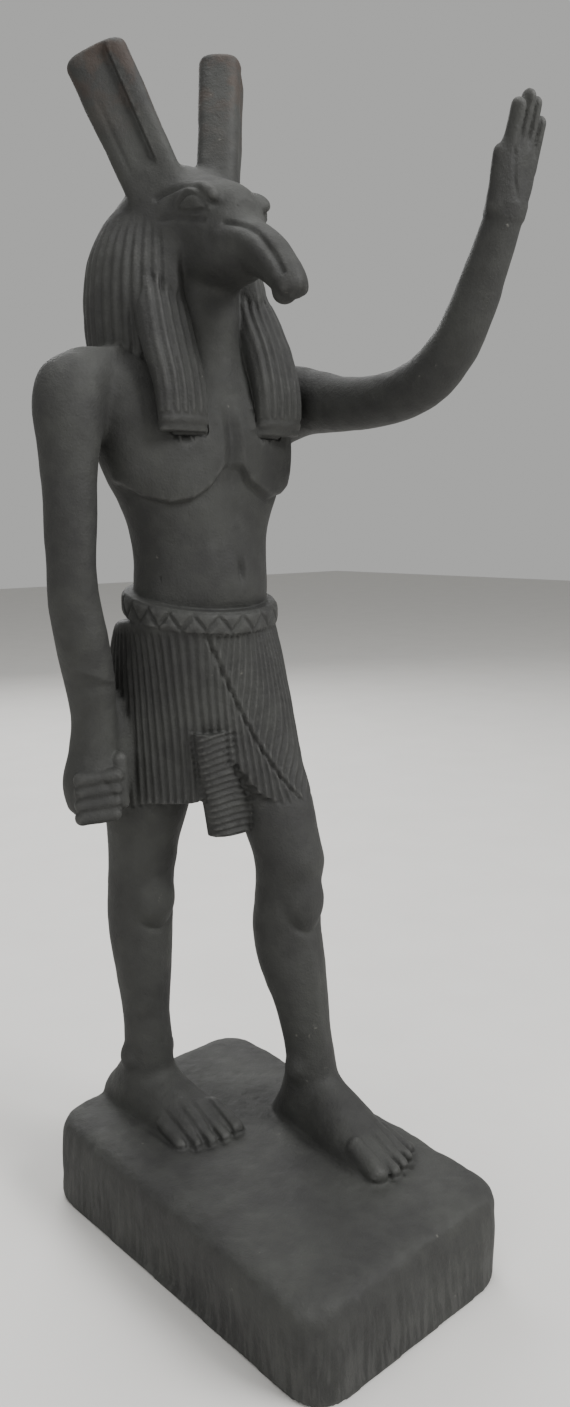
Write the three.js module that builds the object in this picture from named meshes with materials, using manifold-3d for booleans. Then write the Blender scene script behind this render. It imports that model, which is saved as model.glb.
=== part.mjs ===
// Egyptian god statue: a striding man with a long-eared animal head, carved in one piece
// with its rough oblong base. Millimetres, +Z up. The figure faces -Y and its left is +X.
// The origin is the centre of the base's underside.
import * as THREE from 'three';
import { mergeVertices } from 'three/addons/utils/BufferGeometryUtils.js';
import Module from 'manifold-3d';

const wasm = await Module();
wasm.setup();

// Driving dimensions
const MIDPLANE_X = 8;
const GROUND_Z = 36;
const SOLE_SINK = 3;
const STRIDE_TURN = THREE.MathUtils.degToRad(-38);
const EAR_TURN = THREE.MathUtils.degToRad(45);

// Base: corner places on the underside and on the top, and the heights of its worn edge
const BASE = {
  foot: [[-54, -87.5], [51, -84.4], [54, 88], [-50.6, 86.5]],
  table: [[-56.4, -84.6], [57, -82.6], [61.4, 95], [-49, 90]],
  tableHeights: [36, 36, 39, 36.5],
  cornerRadius: 17,
  cornerSteps: 4,
  edgeRows: [
    { inset: 0.8, lift: 0 },
    { inset: 0, lift: 0.06 },
    { inset: 0.3, lift: 0.55 },
    { inset: 1.2, lift: 0.86 },
    { inset: 3.4, lift: 0.955 },
    { inset: 8, lift: 1 },
  ],
};

// Upright forms: each row is height, centre x, centre y, half width, half depth
const TORSO = [
  [242, 8.6, 46, 26, 19],
  [254, 8.6, 46.4, 28, 21],
  [262, 8.7, 46.3, 29.6, 23],
  [275, 8.7, 46.2, 29.2, 23],
  [284, 8.6, 46.3, 30.2, 22.6],
  [292, 8.6, 46.4, 32.8, 22.4],
  [300, 8.5, 46.6, 36.8, 22.6],
  [308, 8.4, 46.8, 41.4, 23],
  [316, 8.3, 47, 45, 23.4],
  [324, 8.2, 47.2, 47.4, 23.4],
  [332, 8, 47.6, 50, 22.6],
  [340, 8, 48.2, 52, 21],
  [347, 8, 49, 51, 18.6],
  [353, 8, 50, 45, 16],
  [359, 8, 51, 35, 13],
  [364, 8, 52, 24, 10],
];

const NECK = [
  [345, 8, 48, 20, 19],
  [356, 8, 47, 17.5, 17.5],
  [368, 8, 46, 16.5, 17],
  [380, 8, 46, 16.5, 18],
  [396, 8, 46, 16, 20],
];

const RIGHT_LEG = [
  [34, -13.3, 67.5, 10.5, 13],
  [48, -13.3, 65, 11, 13],
  [57, -13.3, 63.1, 10.8, 12.2],
  [66, -13.3, 62.3, 10.2, 11.2],
  [76, -13.3, 62.7, 10, 10.6],
  [86, -13.3, 63.5, 10.4, 11],
  [103, -13.3, 64.3, 12.4, 12.6],
  [120, -13.3, 65.5, 13.8, 14.2],
  [139, -13.3, 64.3, 14, 14.6],
  [150, -13.3, 62.5, 14.2, 15],
  [160, -13.3, 61.1, 15, 15.6],
  [178, -12.4, 58.2, 18, 17.8],
  [196, -10.7, 55.5, 17, 16],
  [208, -7.7, 51.5, 14, 12],
];

const LEFT_LEG = [
  [34, 31.4, 7.5, 10.7, 14.2],
  [48, 31, 6, 11, 13.4],
  [58, 30.6, 4.9, 10.8, 11.6],
  [66, 30.4, 5.1, 10.2, 10.8],
  [76, 30.2, 7.1, 10.2, 10.8],
  [89, 30.2, 10.5, 11.6, 12],
  [105, 30.2, 16.1, 14.2, 14.8],
  [122, 30, 18.9, 14.4, 15],
  [138, 30.2, 18.3, 13.8, 14],
  [150, 30.4, 17.5, 14.4, 15.4],
  [160, 29.5, 20.1, 15.2, 15.6],
  [178, 27.8, 26.3, 17, 17.2],
  [196, 25.4, 32.5, 16.8, 16.2],
  [208, 21.4, 37.5, 14.2, 12.2],
];

const RIGHT_ARM = [
  [180, -41.8, 54, 9, 9],
  [190, -41.8, 54, 9.8, 10.6],
  [203, -41.6, 53.2, 9.4, 10],
  [216, -41.6, 52, 8.8, 9.4],
  [232, -44.2, 50.2, 9.8, 10.6],
  [247, -48, 48.4, 10.2, 10.8],
  [262, -51.4, 46.8, 9.6, 10.2],
  [277, -52.8, 45.6, 9, 9.8],
  [292, -52.8, 45, 9.6, 10.4],
  [307, -52.6, 45.2, 10.2, 11],
  [321, -51.8, 45.6, 11.6, 12.2],
  [333, -50.8, 46.4, 13.2, 13.2],
  [342.8, -48, 47.4, 13.8, 12.8],
  [349.6, -43.6, 48.4, 13, 11],
  [355, -36.6, 49.6, 9.4, 8],
];

// Raised left arm, shoulder to wrist: x, y, z, half width across, half width in the plane of the bend
const LEFT_ARM = [
  [48, 49, 340.4, 12, 13],
  [57, 42, 341.2, 13.8, 14.4],
  [60, 30, 340, 12.4, 12.8],
  [60, 14, 338, 11, 11],
  [60, -4, 337.8, 10, 10.2],
  [60, -20, 340, 9.8, 10],
  [60, -33.2, 345.6, 9.6, 10],
  [60, -43.6, 355, 9.1, 9.2],
  [60, -51.4, 367, 8.8, 8.3],
  [60, -57.6, 380, 8.3, 7.4],
  [60, -63.2, 392, 7.8, 6.4],
  [60, -66.2, 400, 8, 5.4],
];

// Open left hand, palm to the front: the palm's rows run from wrist to knuckles
const PALM = [
  [60, -64.8, 396, 8, 5.8],
  [59.7, -67.2, 403.5, 9.2, 5.6],
  [59.5, -69.2, 410.5, 9.8, 5],
  [59.6, -70.8, 416, 9.4, 4],
  [59.8, -71.8, 419.5, 8.2, 3],
];
const FINGER = {
  root: { x: 59.8, y: -70.2, z: 411 },
  lean: THREE.MathUtils.degToRad(15),
  radius: 2.7,
  tips: [431, 434.4, 433, 428],
  pitch: 4.2,
};

// Head from the nape forward, cut across the skull: y, half width, underside, top
const SKULL = [
  [78, 9, 396, 414],
  [72, 16, 388, 423],
  [62, 20, 384, 428],
  [52, 21, 382, 428.5],
  [42, 21, 382, 425.5],
  [33, 19.5, 383, 421],
  [25, 17, 385, 418],
  [19, 14.2, 387, 415.4],
  [15, 10.4, 389, 412.4],
  [12.8, 6.4, 393, 408.4],
];

// Muzzle along its curved centre line: y, z, half width, half height
const MUZZLE = [
  [28, 395, 15, 12.5],
  [16, 393, 12, 10.4],
  [8, 390.4, 9.6, 9.2],
  [1, 386.4, 8.2, 8.6],
  [-4.8, 381.6, 7.2, 7.6],
  [-9.6, 376.8, 6.4, 6.5],
  [-12.8, 373.4, 5.4, 5],
  [-14.6, 371.4, 3.2, 2.9],
];

// Ears: centre of the root, centre of the top, half widths there and half thicknesses
const EAR_ROWS = [0, 0.3, 0.7, 0.965, 1];
const EAR_TOP_SHRINK = 0.86;
const EAR_CHANNEL = { from: 0.3, to: 0.9, radius: 3, clear: 0.5 };
const EARS = [
  { side: -1, root: [-6.4, 45.8, 411], top: [-21.8, 65, 465.5], width: [11.4, 12.4], thick: [6.4, 7.6] },
  { side: 1, root: [21, 45.8, 414], top: [36.4, 61.4, 471.5], width: [12, 12.2], thick: [8, 8.8] },
];

// Wig behind the face: height, centre y, half width, half depth
const WIG = [
  [333, 55, 33, 19],
  [340, 55.6, 36, 23.4],
  [350, 56, 38.8, 27.6],
  [362, 56.2, 40.2, 30.4],
  [375, 56.6, 40.2, 31],
  [384, 57, 39, 30.4],
  [392, 57.6, 36.8, 28.4],
  [400, 58.6, 32.8, 25.4],
  [408, 59.4, 26.8, 20.8],
  [415, 59.6, 18, 13.6],
];
const WIG_STRANDS = { count: 23, depth: 1.1, fadeFrom: 398, fadeTo: 414 };
// Opening in front of the throat: where its edge starts and ends, and how far it is set back
const WIG_OPENING = {
  inner: THREE.MathUtils.degToRad(17),
  outer: THREE.MathUtils.degToRad(31),
  setBack: 0.62,
};

// Wig ends on the chest: height, distance from the midplane, y, half width, half thickness
const LAPPET = [
  [324.5, 23.6, 23.8, 10.5, 3.4],
  [331, 23.8, 23, 11, 4.4],
  [343, 24.2, 24.8, 11.2, 5.6],
  [356, 24.5, 29.8, 11.2, 7],
  [370, 23.2, 36, 10.6, 7.5],
  [381, 22, 40, 8.6, 6],
];
const LAPPET_STRANDS = { count: 5, depth: 1, plainRows: 1 };

// Kilt: belt line and hem as ovals about their own centres
const KILT = {
  waist: { x: 7, y: 46.4, long: 33.2, short: 25.2, turn: 0, z: 252 },
  hem: { x: 7.4, y: 43.2, long: 43, short: 22.5, turn: STRIDE_TURN, z: 179 },
  fullness: 2.3,
  flare: { even: 0.6, swing: 0.2, turn: THREE.MathUtils.degToRad(142) },
  pleats: 38,
  pleatDepth: 1.2,
  rows: 4,
  frontNotch: { turn: THREE.MathUtils.degToRad(-104), spread: 0.32, rise: 17 },
  leftWingDrop: 3.5,
  backDrop: 5,
};
// Slanting edge of the kilt: where it starts and ends, round the body and from belt to hem
const WING_EDGE = {
  turn: [THREE.MathUtils.degToRad(-126), THREE.MathUtils.degToRad(-58)],
  down: [0.04, 0.96],
  radius: 1.7,
  steps: 5,
};

const APRON = {
  x: 5,
  y: 26,
  top: { z: 208, half: 17 },
  bottom: { z: 165.5, half: 9.5 },
  thick: 6,
  folds: 9,
  foldDepth: 0.9,
};

const BELT = {
  x: 8.6,
  y: 46.4,
  long: 30.6,
  short: 23.6,
  z: 256.5,
  dip: 5.5,
  halfHeight: 5,
  bulge: 4,
  zigzags: 20,
  grooveDepth: 1.6,
  // Section of the roll as shares of its bulge and half height, from the upper front round the back
  profile: [[1, 0.5], [0.7, 0.95], [-1.7, 1], [-1.7, -1], [0.7, -0.95], [1, -0.5]],
};

// Feet: distance from the heel, centre shift towards the big toe, half width, height
const FOOT = [
  [0, 0, 5, 3],
  [3, 0, 8.6, 7.5],
  [9, 0, 10.6, 14],
  [18, 0, 12, 22],
  [29, 0.4, 12.6, 23.4],
  [40, 1.2, 13.6, 19],
  [51, 2.2, 14.6, 13.4],
  [60, 3, 15, 9.8],
  [65, 3.4, 14.4, 7.4],
  [68, 3.6, 12, 5],
];
// Toes from the big one outward: place across the foot, tip from the heel, half width, height
const TOES = [
  [13, 75, 4.6, 8],
  [6, 75.5, 3.2, 6.8],
  [-0.4, 74, 3, 6.4],
  [-6.2, 71.5, 2.9, 6],
  [-11.6, 68, 2.8, 5.4],
];
const TOE_LENGTH = 18;
const FEET = [
  { heel: [-13, 90], toesTowards: 1 },
  { heel: [31.5, 25], toesTowards: -1 },
];

// Breast muscles: distance from the midplane, half width, height over the ribs and where they start and end
const PECTORAL = { apart: 18, spread: 15, depth: 2.6, under: [299, 309], over: [326, 350] };
const DELTOID_LEFT = { centre: [55, 47, 339], half: [15, 13.5, 14.2] };
const FIST = { centre: [-42, 53.4, 188], half: [11.6, 12.6, 15] };
const THUMB = { from: [-36, 44.2, 199], to: [-37.4, 42.4, 181], radius: 3.2 };
const RAISED_THUMB = { from: [52.8, -66, 398], to: [51, -69.6, 414.5], radius: 2.5 };
const HIP_WEB = { centre: [-28, 57, 199], half: [11, 9, 26] };
const LOWER_LIP = { centre: [8, -7.4, 372.4], half: [4.8, 4, 4] };
// Eyes and the rims of the brows above them, mirrored about the midplane
const EYE = { apart: 14.4, y: 27, z: 406.4, half: [3.6, 7.6, 3.8] };
// Brow rim from the temple to the bridge: distance from the midplane, y, z, half across, half in plane
const BROW = [
  [19.6, 44, 408.6, 1.8, 1.8],
  [13.8, 30, 413.2, 2.4, 2.2],
  [10, 22, 411.2, 2.4, 2.4],
  [6.2, 15.6, 404.8, 2.2, 2.2],
];

// Numbers of rows and sides that the round forms are drawn with
const ROWS = {
  foot: 8,
  leg: 13,
  torso: 14,
  neck: 3,
  arm: 13,
  raisedArm: 12,
  skull: 9,
  muzzle: 9,
  wig: 8,
  lappet: 5,
};
const SIDES = {
  limb: 16,
  torso: 20,
  arm: 12,
  foot: 11,
  skull: 14,
  brow: 6,
  ear: 12,
  apron: 10,
  wingEdge: 6,
};

// Stone colour of the whole figure
const BLACK_STONE = new THREE.MeshStandardMaterial({ color: 0x232323, roughness: 0.78, metalness: 0 });

// Turns a closed geometry into a solid, with its faces pointing out
function solidOf(geometry) {
  const bare = geometry.clone();
  bare.deleteAttribute('normal');
  bare.deleteAttribute('uv');
  const merged = mergeVertices(bare, 1e-4);
  const vertProperties = new Float32Array(merged.attributes.position.array);
  const triVerts = new Uint32Array(merged.index.array);
  if (signedVolume(vertProperties, triVerts) < 0) {
    for (let i = 0; i < triVerts.length; i += 3) {
      [triVerts[i + 1], triVerts[i + 2]] = [triVerts[i + 2], triVerts[i + 1]];
    }
  }
  return new wasm.Manifold(new wasm.Mesh({ numProp: 3, vertProperties, triVerts }));
}

function signedVolume(points, triangles) {
  const at = (i) => new THREE.Vector3(points[3 * i], points[3 * i + 1], points[3 * i + 2]);
  let volume = 0;
  for (let i = 0; i < triangles.length; i += 3) {
    const [a, b, c] = [at(triangles[i]), at(triangles[i + 1]), at(triangles[i + 2])];
    volume += a.dot(b.cross(c)) / 6;
  }
  return volume;
}

function joined(solids) {
  return solids.reduce((whole, next) => whole.add(next));
}

// Smooth rows between the named ones, evenly spread over their first column or their number
function smoothRows(table, count) {
  const width = table[0].length;
  const curve = new THREE.CubicInterpolant(table.map((_, i) => i), table.flat(), width);
  const rows = [];
  for (let i = 0; i < count; i += 1) {
    rows.push(Array.from(curve.evaluate((i / (count - 1)) * (table.length - 1))));
  }
  return rows;
}

// Power that keeps the sign: under 1 it fills a round outline out towards a square
function squared(value, power) {
  return Math.sign(value) * Math.abs(value) ** power;
}

// Closed skin over rings of equal point count, with a fan over each end
function loft(rings) {
  const sides = rings[0].length;
  const points = [];
  rings.forEach((ring) => ring.forEach((p) => points.push(p.x, p.y, p.z)));
  const faces = [];
  for (let r = 0; r < rings.length - 1; r += 1) {
    for (let s = 0; s < sides; s += 1) {
      const a = r * sides + s;
      const b = r * sides + ((s + 1) % sides);
      faces.push(a, b, b + sides, a, b + sides, a + sides);
    }
  }
  [0, rings.length - 1].forEach((r) => {
    const middle = rings[r].reduce((sum, p) => sum.add(p), new THREE.Vector3()).divideScalar(sides);
    const m = points.length / 3;
    points.push(middle.x, middle.y, middle.z);
    for (let s = 0; s < sides; s += 1) {
      const a = r * sides + s;
      const b = r * sides + ((s + 1) % sides);
      faces.push(...(r === 0 ? [m, b, a] : [m, a, b]));
    }
  });
  const geometry = new THREE.BufferGeometry();
  geometry.setAttribute('position', new THREE.Float32BufferAttribute(points, 3));
  geometry.setIndex(faces);
  return geometry;
}

// Oval ring about a centre, spanned by two half axes
function ovalRing(centre, halfA, halfB, sides) {
  const ring = [];
  for (let s = 0; s < sides; s += 1) {
    const turn = (s / sides) * 2 * Math.PI;
    ring.push(centre.clone().addScaledVector(halfA, Math.cos(turn)).addScaledVector(halfB, Math.sin(turn)));
  }
  return ring;
}

// Upright form from rows of height, centre and half sizes
function uprightForm(table, count, sides) {
  return solidOf(loft(smoothRows(table, count).map(([z, x, y, a, b]) => ovalRing(
    new THREE.Vector3(x, y, z),
    new THREE.Vector3(a, 0, 0),
    new THREE.Vector3(0, b, 0),
    sides,
  ))));
}

// Form along a path in an upright plane x = constant: rows of x, y, z, half across, half in plane
function bentForm(table, count, sides) {
  const rows = smoothRows(table, count);
  const centres = rows.map(([x, y, z]) => new THREE.Vector3(x, y, z));
  return solidOf(loft(rows.map(([, , , across, inPlane], i) => {
    const before = centres[Math.max(i - 1, 0)];
    const after = centres[Math.min(i + 1, rows.length - 1)];
    const along = after.clone().sub(before).normalize();
    const side = new THREE.Vector3(1, 0, 0).addScaledVector(along, -along.x).normalize();
    const up = along.clone().cross(side);
    return ovalRing(centres[i], side.multiplyScalar(across), up.multiplyScalar(inPlane), sides);
  })));
}

function ellipsoid({ centre, half }, wide, high) {
  const shape = new THREE.SphereGeometry(1, wide, high);
  shape.scale(...half);
  shape.translate(...centre);
  return solidOf(shape);
}

// Rounded rod between two points
function rod({ from, to, radius }, sides) {
  const a = new THREE.Vector3(...from);
  const b = new THREE.Vector3(...to);
  const shape = new THREE.CapsuleGeometry(radius, a.distanceTo(b), 2, sides, 1);
  const turn = new THREE.Quaternion().setFromUnitVectors(
    new THREE.Vector3(0, 1, 0),
    b.clone().sub(a).normalize(),
  );
  shape.applyQuaternion(turn);
  const middle = a.clone().add(b).multiplyScalar(0.5);
  shape.translate(middle.x, middle.y, middle.z);
  return solidOf(shape);
}

// Outline of a four-cornered block with round corners, drawn in by an inset
function roundedQuad(corners, radius, inset, steps, heights) {
  const ring = [];
  const n = corners.length;
  corners.forEach((corner, i) => {
    const here = new THREE.Vector2(...corner);
    const toPrevious = new THREE.Vector2(...corners[(i + n - 1) % n]).sub(here).normalize();
    const toNext = new THREE.Vector2(...corners[(i + 1) % n]).sub(here).normalize();
    const inward = toPrevious.clone().add(toNext);
    const inner = here.clone().addScaledVector(inward, inset);
    const start = inner.clone().addScaledVector(toPrevious, radius);
    const end = inner.clone().addScaledVector(toNext, radius);
    for (let s = 0; s <= steps; s += 1) {
      const t = s / steps;
      const p = start.clone().multiplyScalar((1 - t) ** 2);
      p.addScaledVector(inner, 2 * t * (1 - t)).addScaledVector(end, t * t);
      ring.push(new THREE.Vector3(p.x, p.y, heights[i]));
    }
  });
  return ring;
}

function base() {
  const rings = BASE.edgeRows.map(({ inset, lift }) => {
    const corners = BASE.foot.map(([x, y], i) => [
      THREE.MathUtils.lerp(x, BASE.table[i][0], lift),
      THREE.MathUtils.lerp(y, BASE.table[i][1], lift),
    ]);
    const heights = BASE.tableHeights.map((height) => height * lift);
    return roundedQuad(corners, BASE.cornerRadius, inset, BASE.cornerSteps, heights);
  });
  return solidOf(loft(rings));
}

function foot({ heel, toesTowards }) {
  const [heelX, heelY] = heel;
  const rows = smoothRows(FOOT, ROWS.foot).map(([back, shift, half, height]) => {
    const centre = new THREE.Vector3(heelX + toesTowards * shift, heelY - back, GROUND_Z - SOLE_SINK);
    return archRing(centre, half, height + SOLE_SINK);
  });
  const toes = TOES.map(([across, reach, half, height]) => {
    const shape = new THREE.SphereGeometry(1, 8, 5);
    shape.scale(half, TOE_LENGTH / 2, height);
    shape.translate(heelX + toesTowards * across, heelY - reach + TOE_LENGTH / 2, GROUND_Z);
    return solidOf(shape);
  });
  return joined([solidOf(loft(rows)), ...toes]);
}

// Upright arch with a flat underside, across x
function archRing(centre, half, height) {
  const ring = [];
  for (let s = 0; s < SIDES.foot; s += 1) {
    const turn = (s / (SIDES.foot - 1)) * Math.PI;
    const x = centre.x + half * squared(Math.cos(turn), 0.8);
    ring.push(new THREE.Vector3(x, centre.y, centre.z + height * Math.sin(turn) ** 0.8));
  }
  return ring;
}

function head() {
  const skullRings = smoothRows(SKULL, ROWS.skull).map(([y, half, low, high]) => ovalRing(
    new THREE.Vector3(MIDPLANE_X, y, (low + high) / 2),
    new THREE.Vector3(half, 0, 0),
    new THREE.Vector3(0, 0, (high - low) / 2),
    SIDES.skull,
  ));
  const muzzle = MUZZLE.map(([y, z, half, high]) => [MIDPLANE_X, y, z, half, high]);
  return joined([
    solidOf(loft(skullRings)),
    bentForm(muzzle, ROWS.muzzle, SIDES.arm),
    ellipsoid(LOWER_LIP, 8, 6),
    ...[-1, 1].flatMap(eye),
  ]);
}

// Bulging eye and the rim of the brow over it
function eye(side) {
  const { apart, y, z, half } = EYE;
  return [
    ellipsoid({ centre: [MIDPLANE_X + side * apart, y, z], half }, 8, 6),
    bentForm(BROW.map(([x, ...rest]) => [MIDPLANE_X + side * x, ...rest]), BROW.length, SIDES.brow),
  ];
}

// Tall ear with a square-cut top and a channel down its outward face
function ear({ side, root, top, width, thick }) {
  const rootPoint = new THREE.Vector3(...root);
  const topPoint = new THREE.Vector3(...top);
  const along = topPoint.clone().sub(rootPoint).normalize();
  const facing = new THREE.Vector3(side * Math.sin(EAR_TURN), -Math.cos(EAR_TURN), 0);
  facing.addScaledVector(along, -facing.dot(along)).normalize();
  const across = along.clone().cross(facing).normalize();
  const rings = EAR_ROWS.map((t) => {
    const shrink = t === 1 ? EAR_TOP_SHRINK : 1;
    const half = THREE.MathUtils.lerp(width[0], width[1], t) * shrink;
    const depth = THREE.MathUtils.lerp(thick[0], thick[1], t) * shrink;
    return slatRing(rootPoint.clone().lerp(topPoint, t), across, facing, half, depth);
  });
  const onFace = (t) => rootPoint.clone().lerp(topPoint, t).addScaledVector(
    facing,
    THREE.MathUtils.lerp(thick[0], thick[1], t) + EAR_CHANNEL.clear,
  );
  const channel = {
    from: onFace(EAR_CHANNEL.from).toArray(),
    to: onFace(EAR_CHANNEL.to).toArray(),
    radius: EAR_CHANNEL.radius,
  };
  return solidOf(loft(rings)).subtract(rod(channel, 6));
}

// Rectangle with rounded corners as a ring
function slatRing(centre, across, facing, half, depth) {
  const ring = [];
  for (let s = 0; s < SIDES.ear; s += 1) {
    const turn = ((s + 0.5) / SIDES.ear) * 2 * Math.PI;
    ring.push(centre.clone()
      .addScaledVector(across, half * squared(Math.cos(turn), 0.55))
      .addScaledVector(facing, depth * squared(Math.sin(turn), 0.55)));
  }
  return ring;
}

// Wig mass with carved strands, open in front of the throat
function wig() {
  const sides = WIG_STRANDS.count * 2;
  const rings = smoothRows(WIG, ROWS.wig).map(([z, y, a, b]) => {
    const fade = THREE.MathUtils.smoothstep(z, WIG_STRANDS.fadeFrom, WIG_STRANDS.fadeTo);
    const depth = WIG_STRANDS.depth * (1 - fade);
    const ring = [];
    for (let s = 0; s < sides; s += 1) {
      const turn = (s / sides) * 2 * Math.PI;
      const fromFront = Math.abs(Math.atan2(Math.cos(turn), -Math.sin(turn)));
      const open = 1 - THREE.MathUtils.smoothstep(fromFront, WIG_OPENING.inner, WIG_OPENING.outer);
      const groove = s % 2 === 0 ? 0 : depth;
      const scale = 1 - WIG_OPENING.setBack * open;
      ring.push(new THREE.Vector3(
        MIDPLANE_X + (a - groove) * scale * Math.cos(turn),
        y + (b - groove) * scale * Math.sin(turn),
        z,
      ));
    }
    return ring;
  });
  return solidOf(loft(rings));
}

// One end of the wig on the chest, with strands above a plain band
function lappet(side) {
  const sides = LAPPET_STRANDS.count * 4;
  const rings = smoothRows(LAPPET, ROWS.lappet).map(([z, apart, y, half, thick], row) => {
    const ring = [];
    for (let s = 0; s < sides; s += 1) {
      const turn = (s / sides) * 2 * Math.PI;
      const groove = s % 2 === 1 && row >= LAPPET_STRANDS.plainRows ? LAPPET_STRANDS.depth : 0;
      ring.push(new THREE.Vector3(
        MIDPLANE_X + side * (apart + half * squared(Math.cos(turn), 0.8)),
        y + (thick - groove) * squared(Math.sin(turn), 0.7),
        z,
      ));
    }
    return ring;
  });
  return solidOf(loft(rings));
}

// Distance from an oval's centre to its edge in a given direction
function ovalRadius(oval, turn) {
  const t = turn - oval.turn;
  const n = KILT.fullness;
  return (Math.abs(Math.cos(t) / oval.long) ** n + Math.abs(Math.sin(t) / oval.short) ** n) ** (-1 / n);
}

// Place on the kilt's skin, from belt (down = 0) to hem (down = 1), sunk by a groove
function kiltPoint(turn, down, groove) {
  const { waist, hem, frontNotch, flare: flareOf } = KILT;
  const fromNotch = Math.atan2(Math.sin(turn - frontNotch.turn), Math.cos(turn - frontNotch.turn));
  const rise = frontNotch.rise * Math.exp(-((fromNotch / frontNotch.spread) ** 2));
  const drop = KILT.leftWingDrop * Math.max(0, Math.cos(turn)) + KILT.backDrop * Math.max(0, Math.sin(turn));
  const flare = down ** (flareOf.even - flareOf.swing * Math.cos(turn - flareOf.turn));
  const radius = THREE.MathUtils.lerp(ovalRadius(waist, turn), ovalRadius(hem, turn), flare) - groove;
  return new THREE.Vector3(
    THREE.MathUtils.lerp(waist.x, hem.x, down) + radius * Math.cos(turn),
    THREE.MathUtils.lerp(waist.y, hem.y, down) + radius * Math.sin(turn),
    THREE.MathUtils.lerp(waist.z, hem.z + rise - drop, down),
  );
}

// Pleated kilt whose hem rises in front
function kilt() {
  const sides = KILT.pleats * 2;
  const rings = [];
  for (let r = 0; r < KILT.rows; r += 1) {
    const ring = [];
    for (let s = 0; s < sides; s += 1) {
      const groove = s % 2 === 0 ? 0 : KILT.pleatDepth;
      ring.push(kiltPoint((s / sides) * 2 * Math.PI, r / (KILT.rows - 1), groove));
    }
    rings.push(ring);
  }
  return solidOf(loft(rings));
}

// Slanting edge where the kilt's left wing is laid over the right one
function wingEdge() {
  const { turn, down, radius, steps } = WING_EDGE;
  const across = new THREE.Vector3(radius, 0, 0);
  const deep = new THREE.Vector3(0, radius, 0);
  const rings = [];
  for (let r = 0; r <= steps; r += 1) {
    const here = THREE.MathUtils.lerp(down[0], down[1], r / steps);
    const centre = kiltPoint(THREE.MathUtils.lerp(turn[0], turn[1], here), here, KILT.pleatDepth / 2);
    rings.push(ovalRing(centre, across, deep, SIDES.wingEdge));
  }
  return solidOf(loft(rings));
}

// Tapered apron with level folds, hanging between the thighs
function apron() {
  const rings = [];
  const rows = APRON.folds * 2 + 1;
  for (let r = 0; r < rows; r += 1) {
    const t = r / (rows - 1);
    const fold = r % 2 === 0 ? 0 : APRON.foldDepth;
    rings.push(ovalRing(
      new THREE.Vector3(APRON.x, APRON.y, THREE.MathUtils.lerp(APRON.bottom.z, APRON.top.z, t)),
      new THREE.Vector3(THREE.MathUtils.lerp(APRON.bottom.half, APRON.top.half, t), 0, 0),
      new THREE.Vector3(0, APRON.thick - fold, 0),
      SIDES.apron,
    ));
  }
  return solidOf(loft(rings));
}

function beltPoint(turn, out, up) {
  return new THREE.Vector3(
    BELT.x + (BELT.long + out) * Math.cos(turn),
    BELT.y + (BELT.short + out) * Math.sin(turn),
    BELT.z + BELT.dip * Math.sin(turn) + up,
  );
}

// Rolled belt round the waist, with a zigzag valley carved between its upper and lower edge
function belt() {
  const profile = BELT.profile;
  const around = profile.length;
  const steps = BELT.zigzags * 2;
  const points = [];
  const faces = [];
  for (let s = 0; s < steps; s += 1) {
    const turn = (s / steps) * 2 * Math.PI;
    const valley = s % 2 === 0 ? 0 : around - 1;
    profile.forEach(([out, up], k) => {
      const depth = k === valley ? BELT.grooveDepth : 0;
      const p = beltPoint(turn, BELT.bulge * out - depth, BELT.halfHeight * up);
      points.push(p.x, p.y, p.z);
      const a = s * around + k;
      const b = s * around + ((k + 1) % around);
      const c = ((s + 1) % steps) * around + ((k + 1) % around);
      const d = ((s + 1) % steps) * around + k;
      const acrossA = (k === around - 1) === (s % 2 === 0);
      faces.push(...(acrossA ? [a, d, b, b, d, c] : [a, d, c, a, c, b]));
    });
  }
  const geometry = new THREE.BufferGeometry();
  geometry.setAttribute('position', new THREE.Float32BufferAttribute(points, 3));
  geometry.setIndex(faces);
  return solidOf(geometry);
}

function raisedHand() {
  const up = new THREE.Vector3(0, -Math.sin(FINGER.lean), Math.cos(FINGER.lean));
  const fingers = FINGER.tips.map((tipZ, i) => {
    const x = FINGER.root.x + (i - (FINGER.tips.length - 1) / 2) * FINGER.pitch;
    const from = new THREE.Vector3(x, FINGER.root.y, FINGER.root.z);
    const length = (tipZ - FINGER.radius - FINGER.root.z) / up.z;
    const to = from.clone().addScaledVector(up, length);
    return rod({ from: from.toArray(), to: to.toArray(), radius: FINGER.radius }, 6);
  });
  return joined([bentForm(PALM, PALM.length, SIDES.arm), ...fingers, rod(RAISED_THUMB, 6)]);
}

function fist() {
  return joined([ellipsoid(FIST, 12, 8), rod(THUMB, 8)]);
}

// Height of the breast muscles over the ribs
function pectoralRelief(x, z) {
  const { apart, spread, depth, under, over } = PECTORAL;
  const offCentre = (Math.abs(x - MIDPLANE_X) - apart) / spread;
  const upright = THREE.MathUtils.smoothstep(z, ...under) * (1 - THREE.MathUtils.smoothstep(z, ...over));
  return depth * Math.exp(-(offCentre ** 2)) * upright;
}

function torso() {
  return solidOf(loft(smoothRows(TORSO, ROWS.torso).map(([z, x, y, a, b]) => {
    const ring = ovalRing(
      new THREE.Vector3(x, y, z),
      new THREE.Vector3(a, 0, 0),
      new THREE.Vector3(0, b, 0),
      SIDES.torso,
    );
    ring.filter((p) => p.y < y).forEach((p) => {
      p.y -= pectoralRelief(p.x, z);
    });
    return ring;
  })));
}

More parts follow.
